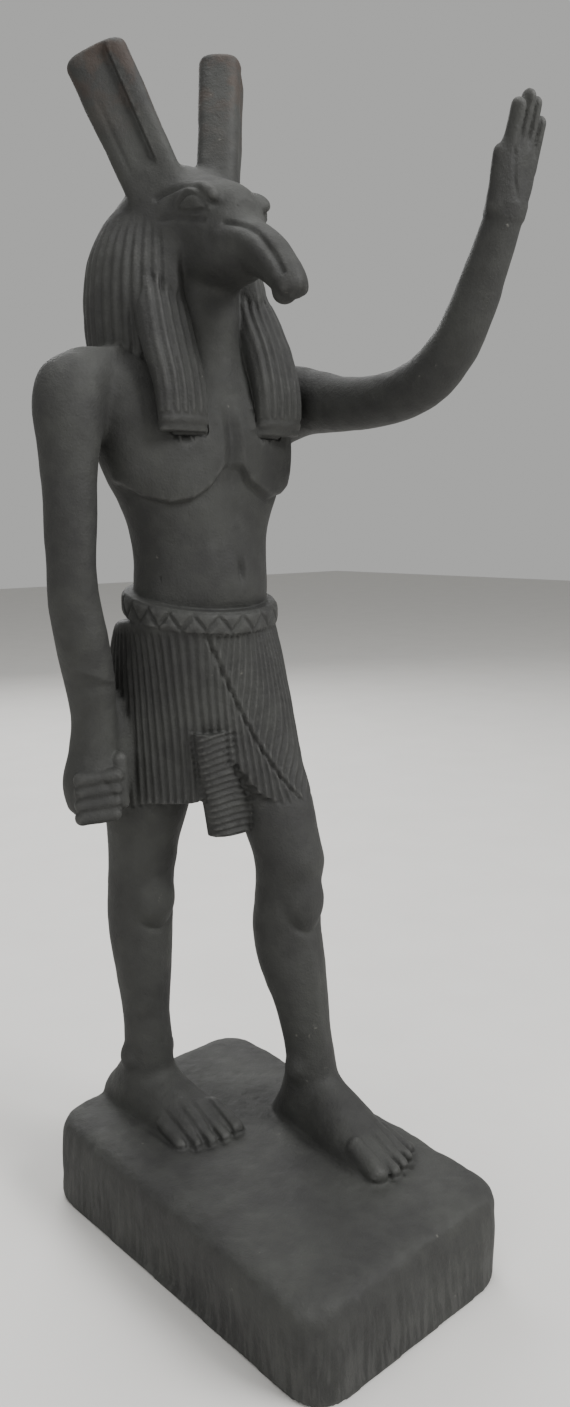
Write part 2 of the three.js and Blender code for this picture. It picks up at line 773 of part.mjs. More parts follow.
function figure() {
  return joined([
    base(),
    ...FEET.map(foot),
    uprightForm(RIGHT_LEG, ROWS.leg, SIDES.limb),
    uprightForm(LEFT_LEG, ROWS.leg, SIDES.limb),
    torso(),
    uprightForm(NECK, ROWS.neck, SIDES.arm),
    uprightForm(RIGHT_ARM, ROWS.arm, SIDES.arm),
    bentForm(LEFT_ARM, ROWS.raisedArm, SIDES.arm),
    ellipsoid(DELTOID_LEFT, 12, 8),
    fist(),
    raisedHand(),
    ellipsoid(HIP_WEB, 8, 6),
    kilt(),
    wingEdge(),
    apron(),
    belt(),
    wig(),
    lappet(-1),
    lappet(1),
    head(),
    ...EARS.map(ear),
  ]);
}

// Drawn surface of a finished solid
function geometryOf(solid) {
  const { vertProperties, triVerts, numProp } = solid.getMesh();
  const geometry = new THREE.BufferGeometry();
  const points = new Float32Array((vertProperties.length / numProp) * 3);
  for (let i = 0; i < points.length / 3; i += 1) {
    points.set(vertProperties.subarray(i * numProp, i * numProp + 3), i * 3);
  }
  geometry.setAttribute('position', new THREE.BufferAttribute(points, 3));
  geometry.setIndex(new THREE.BufferAttribute(new Uint32Array(triVerts), 1));
  geometry.computeVertexNormals();
  return geometry;
}

const statue = new THREE.Mesh(geometryOf(figure()), BLACK_STONE);
statue.name = 'statue';

const model = new THREE.Group();
model.add(statue);

export default model;
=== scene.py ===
"""Egyptian god statue: the carved look of the dark stone figure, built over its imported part.

A striding man with a long-eared animal head is carved in one piece with its rough oblong base.
Shapes are worked out in millimetres. The figure faces -Y, its left is +X, and Z is the height
above the base's underside. Closed forms are joined as fields of distance, so that they run into
each other as cut stone does, and the finer carving is then sunk into the joined skin.
"""

from __future__ import annotations

import logging
import math
from dataclasses import dataclass, field
from enum import Enum
from typing import Callable, Iterable, Sequence, Union

import bpy
import numpy as np
import openvdb
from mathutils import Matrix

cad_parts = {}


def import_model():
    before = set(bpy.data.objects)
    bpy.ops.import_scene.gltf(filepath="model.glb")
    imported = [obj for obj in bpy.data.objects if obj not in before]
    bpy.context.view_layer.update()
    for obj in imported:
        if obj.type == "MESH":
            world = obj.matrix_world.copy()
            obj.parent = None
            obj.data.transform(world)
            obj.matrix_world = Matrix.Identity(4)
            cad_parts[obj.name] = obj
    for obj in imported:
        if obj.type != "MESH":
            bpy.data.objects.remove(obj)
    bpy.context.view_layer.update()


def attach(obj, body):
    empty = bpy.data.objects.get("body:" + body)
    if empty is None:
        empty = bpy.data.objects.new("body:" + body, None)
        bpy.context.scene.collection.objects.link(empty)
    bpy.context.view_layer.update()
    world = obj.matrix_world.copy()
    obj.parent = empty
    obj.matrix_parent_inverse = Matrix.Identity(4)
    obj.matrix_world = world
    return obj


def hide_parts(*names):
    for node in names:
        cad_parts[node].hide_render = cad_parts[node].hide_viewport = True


LOG = logging.getLogger("statue")
Array = np.ndarray
Rows = Sequence[Sequence[float]]

MM = 0.001
MIDPLANE = 8.0
GROUND = 36.0
SEED = 11


# Numbers and curves


def smooth_rows(table: Rows, count: int) -> Array:
    """Rows between the named ones, on a smooth curve through them.

    Args:
        table: The named rows, all of one length.
        count: How many evenly spread rows to give.

    Returns:
        An array of count rows.
    """
    rows = np.asarray(table, float)
    at = np.linspace(0.0, len(rows) - 1, count)
    index = np.minimum(at.astype(int), len(rows) - 2)
    t = (at - index)[:, None]
    slopes = np.gradient(rows, axis=0)
    start = (2 * t**3 - 3 * t**2 + 1) * rows[index] + (t**3 - 2 * t**2 + t) * slopes[index]
    end = (3 * t**2 - 2 * t**3) * rows[index + 1] + (t**3 - t**2) * slopes[index + 1]
    return start + end


def ramp(value: Array, low: float, high: float) -> Array:
    """Smooth step from 0 at low to 1 at high, in either order."""
    t = np.clip((value - low) / (high - low), 0.0, 1.0)
    return t * t * (3 - 2 * t)


def bell(value: Array, width: float) -> Array:
    """Bell curve of height 1 that falls to a third at the width."""
    return np.exp(-((value / width) ** 2))


def valley(phase: Array, sharpness: float) -> Array:
    """Grooves at whole numbers of the phase: 1 at a groove's bottom and 0 between grooves."""
    return (0.5 + 0.5 * np.cos(2 * np.pi * phase)) ** sharpness


def power(value: Array, exponent: float) -> Array:
    """Power that keeps the sign: an exponent under 1 fills a round outline out to a square."""
    return np.sign(value) * np.abs(value) ** exponent


def turns(count: int) -> Array:
    """Evenly spread angles of one full turn."""
    return np.arange(count) / count * 2 * np.pi


def unit(vector: Array) -> Array:
    """Vectors scaled to length 1, along their last axis."""
    return vector / np.linalg.norm(vector, axis=-1, keepdims=True)


def rings_of(x: Array, y: Array, z: Array) -> Array:
    """Rings of places from three arrays that are spread to one shape."""
    return np.stack(np.broadcast_arrays(x, y, z), -1)


def path_distance(points: Array, path: Rows) -> tuple[Array, Array]:
    """How far points lie from a smooth line through named places, in any number of dimensions.

    Args:
        points: One row for each point.
        path: The places that the line runs through.

    Returns:
        The distance of each point, and how far along the line its nearest place is, from 0 to 1.
    """
    line = smooth_rows(path, 12 * (len(path) - 1) + 1)
    best = np.full(len(points), np.inf)
    along = np.zeros(len(points))
    for i, (a, b) in enumerate(zip(line[:-1], line[1:])):
        step = b - a
        t = np.clip((points - a) @ step / max(step @ step, 1e-9), 0.0, 1.0)
        distance = np.linalg.norm(points - a - t[:, None] * step, axis=1)
        nearer = distance < best
        best = np.where(nearer, distance, best)
        along = np.where(nearer, (i + t) / (len(line) - 1), along)
    return best, along


def noise(points: Array, size: float | Sequence[float], seed: int) -> Array:
    """Smooth random unevenness from -1 to 1, the same on every run.

    Args:
        points: Places in millimetres.
        size: Width of one lump, alike in all directions or for X, Y and Z.
        seed: Picks one of many patterns.

    Returns:
        One number for each point.
    """
    rng = np.random.default_rng(SEED + seed)
    table = rng.uniform(-1.0, 1.0, (32, 32, 32))
    at = points / np.asarray(size, float)
    cell = np.floor(at).astype(int)
    t = at - cell
    t = t * t * (3 - 2 * t)
    total = np.zeros(len(points))
    for corner in np.ndindex(2, 2, 2):
        weight = np.prod(np.where(corner, t, 1 - t), axis=1)
        i, j, k = ((cell + corner) % 32).T
        total += weight * table[i, j, k]
    return total


# Closed forms


@dataclass
class Form:
    """One closed form of the figure, and how it is joined to what is there already.

    Attributes:
        name: Name that its carving is worked out under.
        points: Places in millimetres.
        faces: Triangles, as point numbers.
        melt: Width in millimetres over which it runs into the rest.
        hollow: True if it is cut away.
    """

    name: str
    points: Array
    faces: Array
    melt: float = 1.0
    hollow: bool = False


def loft(name: str, rings: Array, melt: float, hollow: bool = False) -> Form:
    """Closed form over rings of equal point count, with a fan over each end.

    Args:
        name: The form's name.
        rings: Array of rows, points round and coordinates.
        melt: Width of its join.
        hollow: True if it is cut away.

    Returns:
        The form.
    """
    rows, sides, _ = rings.shape
    grid = np.arange(rows * sides).reshape(rows, sides)
    after = np.roll(grid, -1, axis=1)
    a, b, c, d = (part.ravel() for part in (grid[:-1], after[:-1], after[1:], grid[1:]))
    ends = np.full(sides, rows * sides)
    faces = [
        np.stack([a, b, c], 1),
        np.stack([a, c, d], 1),
        np.stack([ends, after[0], grid[0]], 1),
        np.stack([ends + 1, grid[-1], after[-1]], 1),
    ]
    points = np.concatenate([rings.reshape(-1, 3), [rings[0].mean(0), rings[-1].mean(0)]])
    return Form(name, points, np.concatenate(faces), melt, hollow)


def upright(name: str, table: Rows, melt: float, rows: int = 70, sides: int = 56) -> Form:
    """Upright form from rows of height, centre x and y, half width and half depth."""
    z, x, y, a, b = (column[:, None] for column in smooth_rows(table, rows).T)
    turn = turns(sides)
    return loft(name, rings_of(x + a * np.cos(turn), y + b * np.sin(turn), z), melt)


def bent(name: str, table: Rows, melt: float, rows: int = 70, sides: int = 48, square: float = 1.0) -> Form:
    """Form along a path in an upright plane that faces x.

    Args:
        name: The form's name.
        table: Rows of x, y, z, half width across and half width in the plane.
        melt: Width of its join.
        rows: Number of rings.
        sides: Points round each ring.
        square: Under 1, the section is filled out to a square.

    Returns:
        The form.
    """
    line = smooth_rows(table, rows)
    centres = line[:, :3]
    along = unit(np.gradient(centres, axis=0))
    across = unit(np.array([1.0, 0.0, 0.0]) - along * along[:, :1])
    inside = np.cross(along, across)
    turn = turns(sides)[None, :, None]
    rings = (
        centres[:, None]
        + (across * line[:, 3:4])[:, None] * power(np.cos(turn), square)
        + (inside * line[:, 4:5])[:, None] * power(np.sin(turn), square)
    )
    return loft(name, rings, melt)


def egg(name: str, centre: Sequence[float], half: Sequence[float], melt: float) -> Form:
    """Round form with three half widths."""
    polar = np.linspace(0.02, math.pi - 0.02, 26)[:, None]
    turn = turns(36)
    ball = rings_of(np.sin(polar) * np.cos(turn), np.sin(polar) * np.sin(turn), np.cos(polar))
    return loft(name, np.asarray(centre) + ball * np.asarray(half), melt)


def rod(name: str, ends: Rows, radii: Sequence[float], melt: float, hollow: bool = False) -> Form:
    """Rod with round ends, from one place and radius to another."""
    a, b = (np.asarray(end, float) for end in ends)
    along = unit(b - a)
    side = unit(np.cross(along, [0.31, 0.9, 0.17]))
    other = np.cross(along, side)
    lift = np.linspace(-math.pi / 2 + 0.03, 0.0, 8)
    rows = [(a + along * radii[0] * math.sin(t), radii[0] * math.cos(t)) for t in lift]
    rows += [(b - along * radii[1] * math.sin(t), radii[1] * math.cos(t)) for t in lift[::-1]]
    turn = turns(24)[:, None]
    rings = [centre + r * (side * np.cos(turn) + other * np.sin(turn)) for centre, r in rows]
    return loft(name, np.stack(rings), melt, hollow)


# The block that the forms are joined into


@dataclass
class Skin:
    """Points of the joined surface, with what the carving needs to know of them.

    Attributes:
        points: Places in millimetres.
        normals: Directions straight out of the stone.
        faces: Triangles, as point numbers.
        distances: For each named form, how far each point lies from that form's own surface.
    """

    points: Array
    normals: Array
    faces: Array
    distances: dict[str, Array]

    def on(self, name: str, reach: float = 1.3) -> Array:
        """1 on a form's own surface and 0 further than reach from it."""
        return 1 - ramp(np.abs(self.distances[name]), 0.35 * reach, reach)


class StoneBlock:
    """Field of distances to the stone's surface, to which forms are added one by one."""

    LOW = np.array([-71.0, -97.0, -4.0])
    HIGH = np.array([79.0, 99.0, 482.0])
    REACH = 7.0

    def __init__(self, pitch: float) -> None:
        """Starts an empty block.

        Args:
            pitch: Width of a cell in millimetres.
        """
        self.pitch = pitch
        self.first = np.floor(self.LOW / pitch).astype(int)
        self.shape = np.ceil((self.HIGH - self.LOW) / pitch).astype(int) + 1
        self.field = np.full(self.shape, self.REACH, np.float32)
        self.kept: dict[str, list[tuple[Array, Array]]] = {}

    def add(self, form: Form) -> None:
        """Joins or cuts one form, and keeps its own field for the carving.

        Args:
            form: The form.
        """
        grid = openvdb.FloatGrid.createLevelSetFromPolygons(
            form.points.astype(np.float32),
            triangles=form.faces.astype(np.uint32),
            transform=openvdb.createLinearTransform(voxelSize=self.pitch),
            halfWidth=self.REACH / self.pitch,
        )
        low, high = (np.array(corner) for corner in grid.evalActiveVoxelBoundingBox())
        low = np.maximum(low, self.first)
        high = np.minimum(high, self.first + self.shape - 1)
        own = np.empty(high - low + 1, np.float32)
        grid.copyToArray(own, ijk=tuple(int(v) for v in low))
        place = tuple(slice(a, b) for a, b in zip(low - self.first, high - self.first + 1))
        there = self.field[place]
        self.field[place] = -melted(-there, own, form.melt) if form.hollow else melted(there, own, form.melt)
        self.kept.setdefault(form.name, []).append((low, own))

    def sample(self, low: Array, values: Array, points: Array) -> Array:
        """A kept field's values at places, and the full reach outside its box."""
        at = points / self.pitch - low
        inside = np.all((at >= 0) & (at < np.array(values.shape) - 1), axis=1)
        at = at[inside]
        cell = at.astype(int)
        t = at - cell
        total = np.zeros(len(at))
        for corner in np.ndindex(2, 2, 2):
            i, j, k = (cell + corner).T
            total += np.prod(np.where(corner, t, 1 - t), axis=1) * values[i, j, k]
        found = np.full(len(points), self.REACH)
        found[inside] = total
        return found

    def skin(self) -> Skin:
        """The joined surface as triangles."""
        grid = openvdb.FloatGrid(self.REACH)
        grid.copyFromArray(self.field, ijk=tuple(int(v) for v in self.first))
        grid.transform = openvdb.createLinearTransform(voxelSize=self.pitch)
        points, triangles, quads = grid.convertToPolygons(isovalue=0.0, adaptivity=0.0)
        faces = np.concatenate([quads[:, [0, 1, 2]], quads[:, [0, 2, 3]], triangles]).astype(np.int64)
        points = points.astype(float)
        corners = points[faces]
        volume = np.einsum("ij,ij->i", corners[:, 0], np.cross(corners[:, 1], corners[:, 2])).sum()
        if volume < 0:
            faces = faces[:, ::-1]
        distances = {
            name: np.min([self.sample(low, own, points) for low, own in parts], axis=0)
            for name, parts in self.kept.items()
        }
        return Skin(points, point_normals(points, faces), faces, distances)


def melted(a: Array, b: Array, width: float) -> Array:
    """The nearer of two distances, rounded over where they are within a width of each other."""
    near = np.maximum(width - np.abs(a - b), 0.0) / width
    return np.minimum(a, b) - near * near * width * 0.25


def point_normals(points: Array, faces: Array) -> Array:
    """Directions straight out of a closed skin at its points."""
    corners = points[faces]
    normal = np.cross(corners[:, 1] - corners[:, 0], corners[:, 2] - corners[:, 0])
    total = np.stack(
        [
            sum(np.bincount(faces[:, c], normal[:, axis], len(points)) for c in range(3))
            for axis in range(3)
        ],
        1,
    )
    return total / np.maximum(np.linalg.norm(total, axis=1, keepdims=True), 1e-12)


# Parts of the figure


@dataclass
class Base:
    """Rough oblong base, with its corners' places on the underside and on the top."""

    foot: Rows = ((-54, -87.5), (51, -84.4), (54, 88), (-50.6, 86.5))
    table: Rows = ((-56.4, -84.6), (57, -82.6), (61.4, 95), (-49, 90))
    heights: Sequence[float] = (36, 36, 39, 36.5)
    corner: float = 17.0
    edge: Rows = ((0.8, 0), (0, 0.06), (0.2, 0.3), (0.3, 0.55), (1.2, 0.84), (3.6, 0.95), (9, 1), (14, 1))

    def ring(self, inset: float, lift: float) -> Array:
        """Outline at one height, drawn in by an inset."""
        corners = np.asarray(self.foot) * (1 - lift) + np.asarray(self.table) * lift
        before = unit(np.roll(corners, 1, axis=0) - corners)
        after = unit(np.roll(corners, -1, axis=0) - corners)
        inner = corners + (before + after) * inset
        t = np.linspace(0, 1, 15)[:, None]
        places = []
        for here, back, on, height in zip(inner, before, after, self.heights):
            start, end = here + back * self.corner, here + on * self.corner
            bend = start * (1 - t) ** 2 + here * 2 * t * (1 - t) + end * t**2
            places.append(np.concatenate([bend, np.full((15, 1), height * lift)], 1))
        return np.concatenate(places)

    def forms(self) -> list[Form]:
        """The block."""
        rings = np.stack([self.ring(inset, lift) for inset, lift in smooth_rows(self.edge, 40)])
        return [loft("base", rings, 0.1)]

    def carving(self, skin: Skin) -> Array:
        """Uneven faces, upright tool strokes on the sides and pits on the top."""
        p, n = skin.points, skin.normals
        on = skin.on("base", 2.0) * ramp(p[:, 2], 0.5, 4.0)
        side = 1 - ramp(np.abs(n[:, 2]), 0.35, 0.8)
        strokes = noise(p, (2.6, 2.6, 34), 1) * 0.28 + noise(p, (6, 6, 60), 2) * 0.34
        pits = np.maximum(noise(p, 2.1, 3), 0) * 0.28 + noise(p, 9, 4) * 0.3
        scoop = 1.5 * bell(p[:, 1] + 4, 46) * ramp(p[:, 0], -44, -54) * ramp(p[:, 2], 34, 10)
        return on * (side * strokes + (1 - side) * pits + scoop + noise(p, 26, 5) * 0.45)


@dataclass
class Legs:
    """Both legs and feet: the left one strides ahead."""

    right: Rows = (
        (34, -13.3, 67.5, 10.5, 13), (48, -13.3, 65, 11, 13), (57, -13.3, 63.1, 10.8, 12.2),
        (66, -13.3, 62.3, 10.2, 11.2), (76, -13.3, 62.7, 10, 10.6), (86, -13.3, 63.5, 10.4, 11),
        (103, -13.3, 64.3, 12.4, 12.6), (120, -13.3, 65.5, 13.8, 14.2), (139, -13.3, 64.3, 14, 14.6),
        (150, -13.3, 62.5, 14.2, 15), (160, -13.3, 61.1, 15, 15.6), (178, -12.4, 58.2, 18, 17.8),
        (196, -10.7, 55.5, 17, 16), (208, -7.7, 51.5, 14, 12),
    )
    left: Rows = (
        (34, 31.4, 7.5, 10.7, 14.2), (48, 31, 6, 11, 13.4), (58, 30.6, 4.9, 10.8, 11.6),
        (66, 30.4, 5.1, 10.2, 10.8), (76, 30.2, 7.1, 10.2, 10.8), (89, 30.2, 10.5, 11.6, 12),
        (105, 30.2, 16.1, 14.2, 14.8), (122, 30, 18.9, 14.4, 15), (138, 30.2, 18.3, 13.8, 14),
        (150, 30.4, 17.5, 14.4, 15.4), (160, 29.5, 20.1, 15.2, 15.6), (178, 27.8, 26.3, 17, 17.2),
        (196, 25.4, 32.5, 16.8, 16.2), (208, 21.4, 37.5, 14.2, 12.2),
    )
    # Sole rows: distance from the heel, shift towards the big toe, half width and height
    sole: Rows = (
        (0, 0, 5, 3), (3, 0, 8.6, 7.5), (9, 0, 10.6, 14), (18, 0, 12, 22), (29, 0.4, 12.6, 23.4),
        (40, 1.2, 13.6, 19), (51, 2.2, 14.6, 13.4), (60, 3, 15, 9.8), (65, 3.4, 14.4, 7.4), (68, 3.6, 12, 5),
    )
    # Toes from the big one outward: place across, reach from the heel, radius and height of the knuckle
    toes: Rows = (
        (12.4, 74.6, 4.6, 5.4), (5.6, 75.2, 3.3, 4.9), (-0.6, 73.8, 3.1, 4.6),
        (-6.2, 71.2, 2.9, 4.2), (-11.3, 67.6, 2.7, 3.6),
    )
    toe_length: float = 17.0
    heels: Rows = ((-13, 90, 1), (31.5, 25, -1))

    def foot(self, heel_x: float, heel_y: float, inward: float) -> list[Form]:
        """One foot with its toes."""
        back, shift, half, height = (c[:, None] for c in smooth_rows(self.sole, 44).T)
        turn = np.linspace(0, math.pi, 40)
        rings = rings_of(
            heel_x + inward * shift + half * power(np.cos(turn), 0.85),
            heel_y - back,
            GROUND - 3 + (height + 3) * np.abs(np.sin(turn)) ** 0.8,
        )
        forms = [loft("foot", rings, 2.0)]
        for across, reach, radius, lift in self.toes:
            tip = [heel_x + inward * across, heel_y - reach + radius, GROUND + radius * 0.45]
            root = [heel_x + inward * across * 0.86, heel_y - reach + self.toe_length, GROUND + lift + 1.2]
            forms.append(rod("toes", (tip, root), (radius, radius * 1.05), 0.9))
        return forms

    def forms(self) -> list[Form]:
        """Legs, feet, kneecaps and ankle bones."""
        forms = [form for heel in self.heels for form in self.foot(*heel)]
        forms += [upright("legs", self.right, 4.0), upright("legs", self.left, 4.0)]
        forms += [
            egg("legs", (-13.3, 52.6, 134), (8, 4.2, 9), 5.0),
            egg("legs", (30.2, 6.4, 134), (8, 4.4, 9), 5.0),
            egg("legs", (-22.4, 64, 62), (3.2, 4.4, 4.6), 3.5),
            egg("legs", (-4.2, 63, 63), (3, 4.4, 4.6), 3.5),
            egg("legs", (39.6, 6, 62), (3.2, 4.4, 4.6), 3.5),
            egg("legs", (21.4, 5, 63), (3, 4.4, 4.6), 3.5),
        ]
        return forms

    def carving(self, skin: Skin) -> Array:
        """Grooves between the toes, cut lines under the kneecaps and a ridge down the shins."""
        p = skin.points
        sink = np.zeros(len(p))
        on_toes = np.maximum(skin.on("toes", 2.4), skin.on("foot", 2.4))
        for heel_x, heel_y, inward in self.heels:
            here = bell(p[:, 0] - heel_x, 26) * on_toes
            for first, second in zip(self.toes[:-1], self.toes[1:]):
                x = heel_x + inward * (first[0] + second[0]) / 2
                tip, root = heel_y - max(first[1], second[1]), heel_y - second[1] + self.toe_length + 2
                reach = ramp(p[:, 1], root + 2, root - 5) * ramp(p[:, 1], tip - 3, tip)
                sink += here * reach * 0.9 * bell(p[:, 0] - x, 0.8) * (np.abs(p[:, 2] - GROUND) < 16)
        on_leg = skin.on("legs", 2.5)
        for x, y, z in ((-13.3, 50, 124), (30.2, 3.5, 124)):
            ring = np.hypot((p[:, 0] - x) / 10, (p[:, 2] - z - 8) / 11)
            sink += on_leg * 0.7 * bell(ring - 1, 0.13) * ramp(p[:, 1], y + 9, y + 3) * ramp(p[:, 2], z + 6, z - 2)
            shin = ramp(p[:, 2], 60, 78) * ramp(p[:, 2], 122, 108) * ramp(p[:, 1], y + 14, y + 4)
            sink -= on_leg * 0.7 * shin * bell(p[:, 0] - x + 1, 2.4)
        return sink


@dataclass
class Torso:
    """Trunk, shoulders and throat."""

    trunk: Rows = (
        (242, 8.6, 46, 26, 19), (254, 8.6, 46.4, 28, 21), (262, 8.7, 46.3, 29.6, 23),
        (275, 8.7, 46.2, 29.2, 23), (284, 8.6, 46.3, 30.2, 22.6), (292, 8.6, 46.4, 32.8, 22.4),
        (300, 8.5, 46.6, 36.8, 22.6), (308, 8.4, 46.8, 41.4, 23), (316, 8.3, 47, 45, 23.4),
        (324, 8.2, 47.2, 47.4, 23.4), (332, 8, 47.6, 50, 22.6), (340, 8, 48.2, 52, 21),
        (347, 8, 49, 51, 18.6), (353, 8, 50, 45, 16), (359, 8, 51, 35, 13), (364, 8, 52, 24, 10),
    )
    neck: Rows = (
        (345, 8, 48, 20, 19), (356, 8, 47, 18, 18), (368, 8, 46, 17, 18), (380, 8, 46, 16.5, 19),
        (396, 8, 46, 16, 20),
    )
    # Lower edges of the breast muscles, as x and z, from the armpit to the middle
    right_breast: Rows = ((-31, 306), (-25.7, 301), (-17.5, 298), (-9.8, 299.4), (-3, 304), (3, 312))
    left_breast: Rows = ((45, 306), (37, 301.4), (29, 300.6), (22.6, 302.6), (15.6, 306.4), (11.4, 312))
    breast_rise: float = 2.9
    navel: Sequence[float] = (11.3, 272.0)

    def forms(self) -> list[Form]:
        """Trunk, throat and the swell of the left shoulder."""
        return [
            upright("torso", self.trunk, 6.0, rows=90, sides=72),
            upright("neck", self.neck, 8.0),
            egg("torso", (55, 47, 339), (15, 13.5, 14.2), 6.0),
        ]

    def carving(self, skin: Skin) -> Array:
        """Breast muscles with cut lower edges, breastbone, navel and the line down the belly."""
        p = skin.points
        on = np.maximum(skin.on("torso", 2.6), 0.8 * skin.on("neck", 2.0)) * ramp(skin.normals[:, 1], 0.15, -0.3)
        x, z = p[:, 0], p[:, 2]
        flat = p[:, [0, 2]]
        sink = np.zeros(len(p))
        for edge in (self.right_breast, self.left_breast):
            line = np.asarray(edge, float)
            order = np.argsort(line[:, 0])
            level = np.interp(x, line[order, 0], line[order, 1])
            side = ramp(x, line[:, 0].min() - 8, line[:, 0].min() + 2) * ramp(x, line[:, 0].max() + 5, line[:, 0].max() - 2)
            rise = ramp(z, 350, 326) * ramp(z - level, -1.4, 1.8) * (0.55 + 0.45 * ramp(z - level, 26, 3))
            sink -= self.breast_rise * side * rise
            distance, along = path_distance(flat, edge)
            sink += 0.75 * bell(distance, 1.3) * ramp(along, 0.0, 0.15) * ramp(along, 1.0, 0.8)
        sink += 1.1 * bell(x - MIDPLANE, 2.6) * ramp(z, 300, 309) * ramp(z, 338, 326)
        sink += 0.55 * bell(x - MIDPLANE - 2, 2.6) * ramp(z, 262, 280) * ramp(z, 304, 294)
        sink += 2.1 * bell(np.hypot((x - self.navel[0]) / 1.5, (z - self.navel[1]) / 4.6), 1.0)
        sink -= 0.9 * bell(x - 8.6, 17) * bell(z - 270, 9)
        return on * sink


@dataclass
class HangingArm:
    """Right arm, hanging with its fist against the kilt."""

    arm: Rows = (
        (180, -41.8, 54, 9, 9), (190, -41.8, 54, 9.8, 10.6), (203, -41.6, 53.2, 9.4, 10),
        (216, -41.6, 52, 8.8, 9.4), (232, -44.2, 50.2, 9.8, 10.6), (247, -48, 48.4, 10.2, 10.8),
        (262, -51.4, 46.8, 9.6, 10.2), (277, -52.8, 45.6, 9, 9.8), (292, -52.8, 45, 9.6, 10.4),
        (307, -52.6, 45.2, 10.2, 11), (321, -51.8, 45.6, 11.6, 12.2), (333, -50.8, 46.4, 13.2, 13.2),
        (342.8, -48, 47.4, 13.8, 12.8), (349.6, -43.6, 48.4, 13, 11), (355, -36.6, 49.6, 9.4, 8),
    )
    fist: Sequence[float] = (-42, 53.4, 188)
    fist_half: Sequence[float] = (11.6, 12.6, 15)

    def forms(self) -> list[Form]:
        """Arm, fist, curled fingers, thumb and the stone left between the hand and the kilt."""
        x, y, z = self.fist
        knuckles = [
            rod("fist", ((x + 2.6 - 0.4 * i, y - 12.4, z + 5.6 - 5 * i), (x - 9.6, y - 7, z + 4.6 - 5 * i)), (3.1, 3.2), 1.0)
            for i in range(4)
        ]
        return [
            upright("arm", self.arm, 5.0),
            egg("fist", self.fist, self.fist_half, 3.5),
            *knuckles,
            rod("fist", ((-36, 43.6, 199), (-36.6, 41.6, 182.5)), (3.4, 3.2), 0.9),
            egg("fist", (-28, 57, 199), (11, 9, 26), 4.0),
        ]

    def carving(self, skin: Skin) -> Array:
        """Wrist crease, elbow hollow and the lines of the fist."""
        p = skin.points
        on = skin.on("arm", 2.5)
        crease, _ = path_distance(p, ((-54, 46, 237), (-52.2, 42.7, 235.9), (-46.9, 40.1, 233.7), (-39.3, 41.5, 230.8)))
        sink = -0.55 * bell(crease, 1.5) * on
        sink += 0.5 * bell(p[:, 2] - 229, 2.0) * on * ramp(p[:, 1], 50, 44) * ramp(p[:, 0], -34, -40)
        sink += 0.6 * bell(p[:, 2] - 262, 9) * bell(p[:, 0] + 47, 5) * ramp(p[:, 1], 42, 37) * on
        groove, along = path_distance(p, ((-46.6, 43.4, 195), (-44.1, 41.4, 191.6), (-42.3, 40.4, 188.4), (-39.5, 40.0, 182)))
        return sink + 1.1 * bell(groove, 1.2) * skin.on("fist", 2.5) * ramp(along, 0, 0.1)


@dataclass
class RaisedArm:
    """Left arm, stretched ahead with its open hand raised."""

    arm: Rows = (
        (48, 49, 340.4, 12, 13), (57, 42, 341.2, 13.8, 14.4), (60, 30, 340, 12.4, 12.8),
        (60, 14, 338, 11, 11), (60, -4, 337.8, 10, 10.2), (60, -20, 340, 9.8, 10),
        (60, -33.2, 345.6, 9.6, 10), (60, -43.6, 355, 9.1, 9.2), (60, -51.4, 367, 8.8, 8.3),
        (60, -57.6, 380, 8.3, 7.4), (60, -63.2, 392, 7.8, 6.4), (60, -66.2, 400, 8, 5.4),
    )
    palm: Rows = (
        (60, -64.8, 396, 8, 5.8), (59.7, -67.2, 403.5, 9.2, 5.6), (59.5, -69.2, 410.5, 9.8, 5),
        (59.6, -70.8, 416, 9.4, 4), (59.8, -71.8, 419.5, 8.2, 3),
    )
    finger_root: Sequence[float] = (59.8, -70.2, 411)
    finger_tips: Sequence[float] = (431, 434.4, 433, 428)
    finger_pitch: float = 4.2
    finger_radius: float = 2.75
    finger_lean: float = math.radians(15)

    def forms(self) -> list[Form]:
        """Arm, palm, fingers and thumb."""
        x, y, z = self.finger_root
        rise = np.array([0.0, -math.sin(self.finger_lean), math.cos(self.finger_lean)])
        forms = [bent("raised_arm", self.arm, 5.0), bent("hand", self.palm, 2.5, rows=30)]
        for i, tip in enumerate(self.finger_tips):
            root = np.array([x + (i - 1.5) * self.finger_pitch, y, z])
            end = root + rise * ((tip - self.finger_radius - z) / rise[2])
            forms.append(rod("hand", (root, end), (self.finger_radius, self.finger_radius * 0.92), 0.7))
        forms.append(rod("hand", ((52.8, -66, 398), (51, -69.6, 414.5)), (3.0, 2.4), 1.2))
        return forms

    def carving(self, skin: Skin) -> Array:
        """Grooves between the fingers, the palm's hollow and the ball of the thumb."""
        p = skin.points
        on = skin.on("hand", 2.2)
        sink = np.zeros(len(p))
        for i in range(3):
            x = self.finger_root[0] + (i - 1) * self.finger_pitch
            sink += 0.55 * on * bell(p[:, 0] - x, 0.7) * ramp(p[:, 2], 413, 418)
        front = ramp(skin.normals[:, 1], -0.2, -0.7)
        sink += 0.9 * on * front * bell(np.hypot(p[:, 0] - 60.5, (p[:, 2] - 408) * 0.8), 4.2)
        crease, _ = path_distance(p, ((53.6, -74, 414), (54.8, -73.4, 407), (58.4, -71.4, 400)))
        return sink + 0.7 * on * front * bell(crease, 0.8)


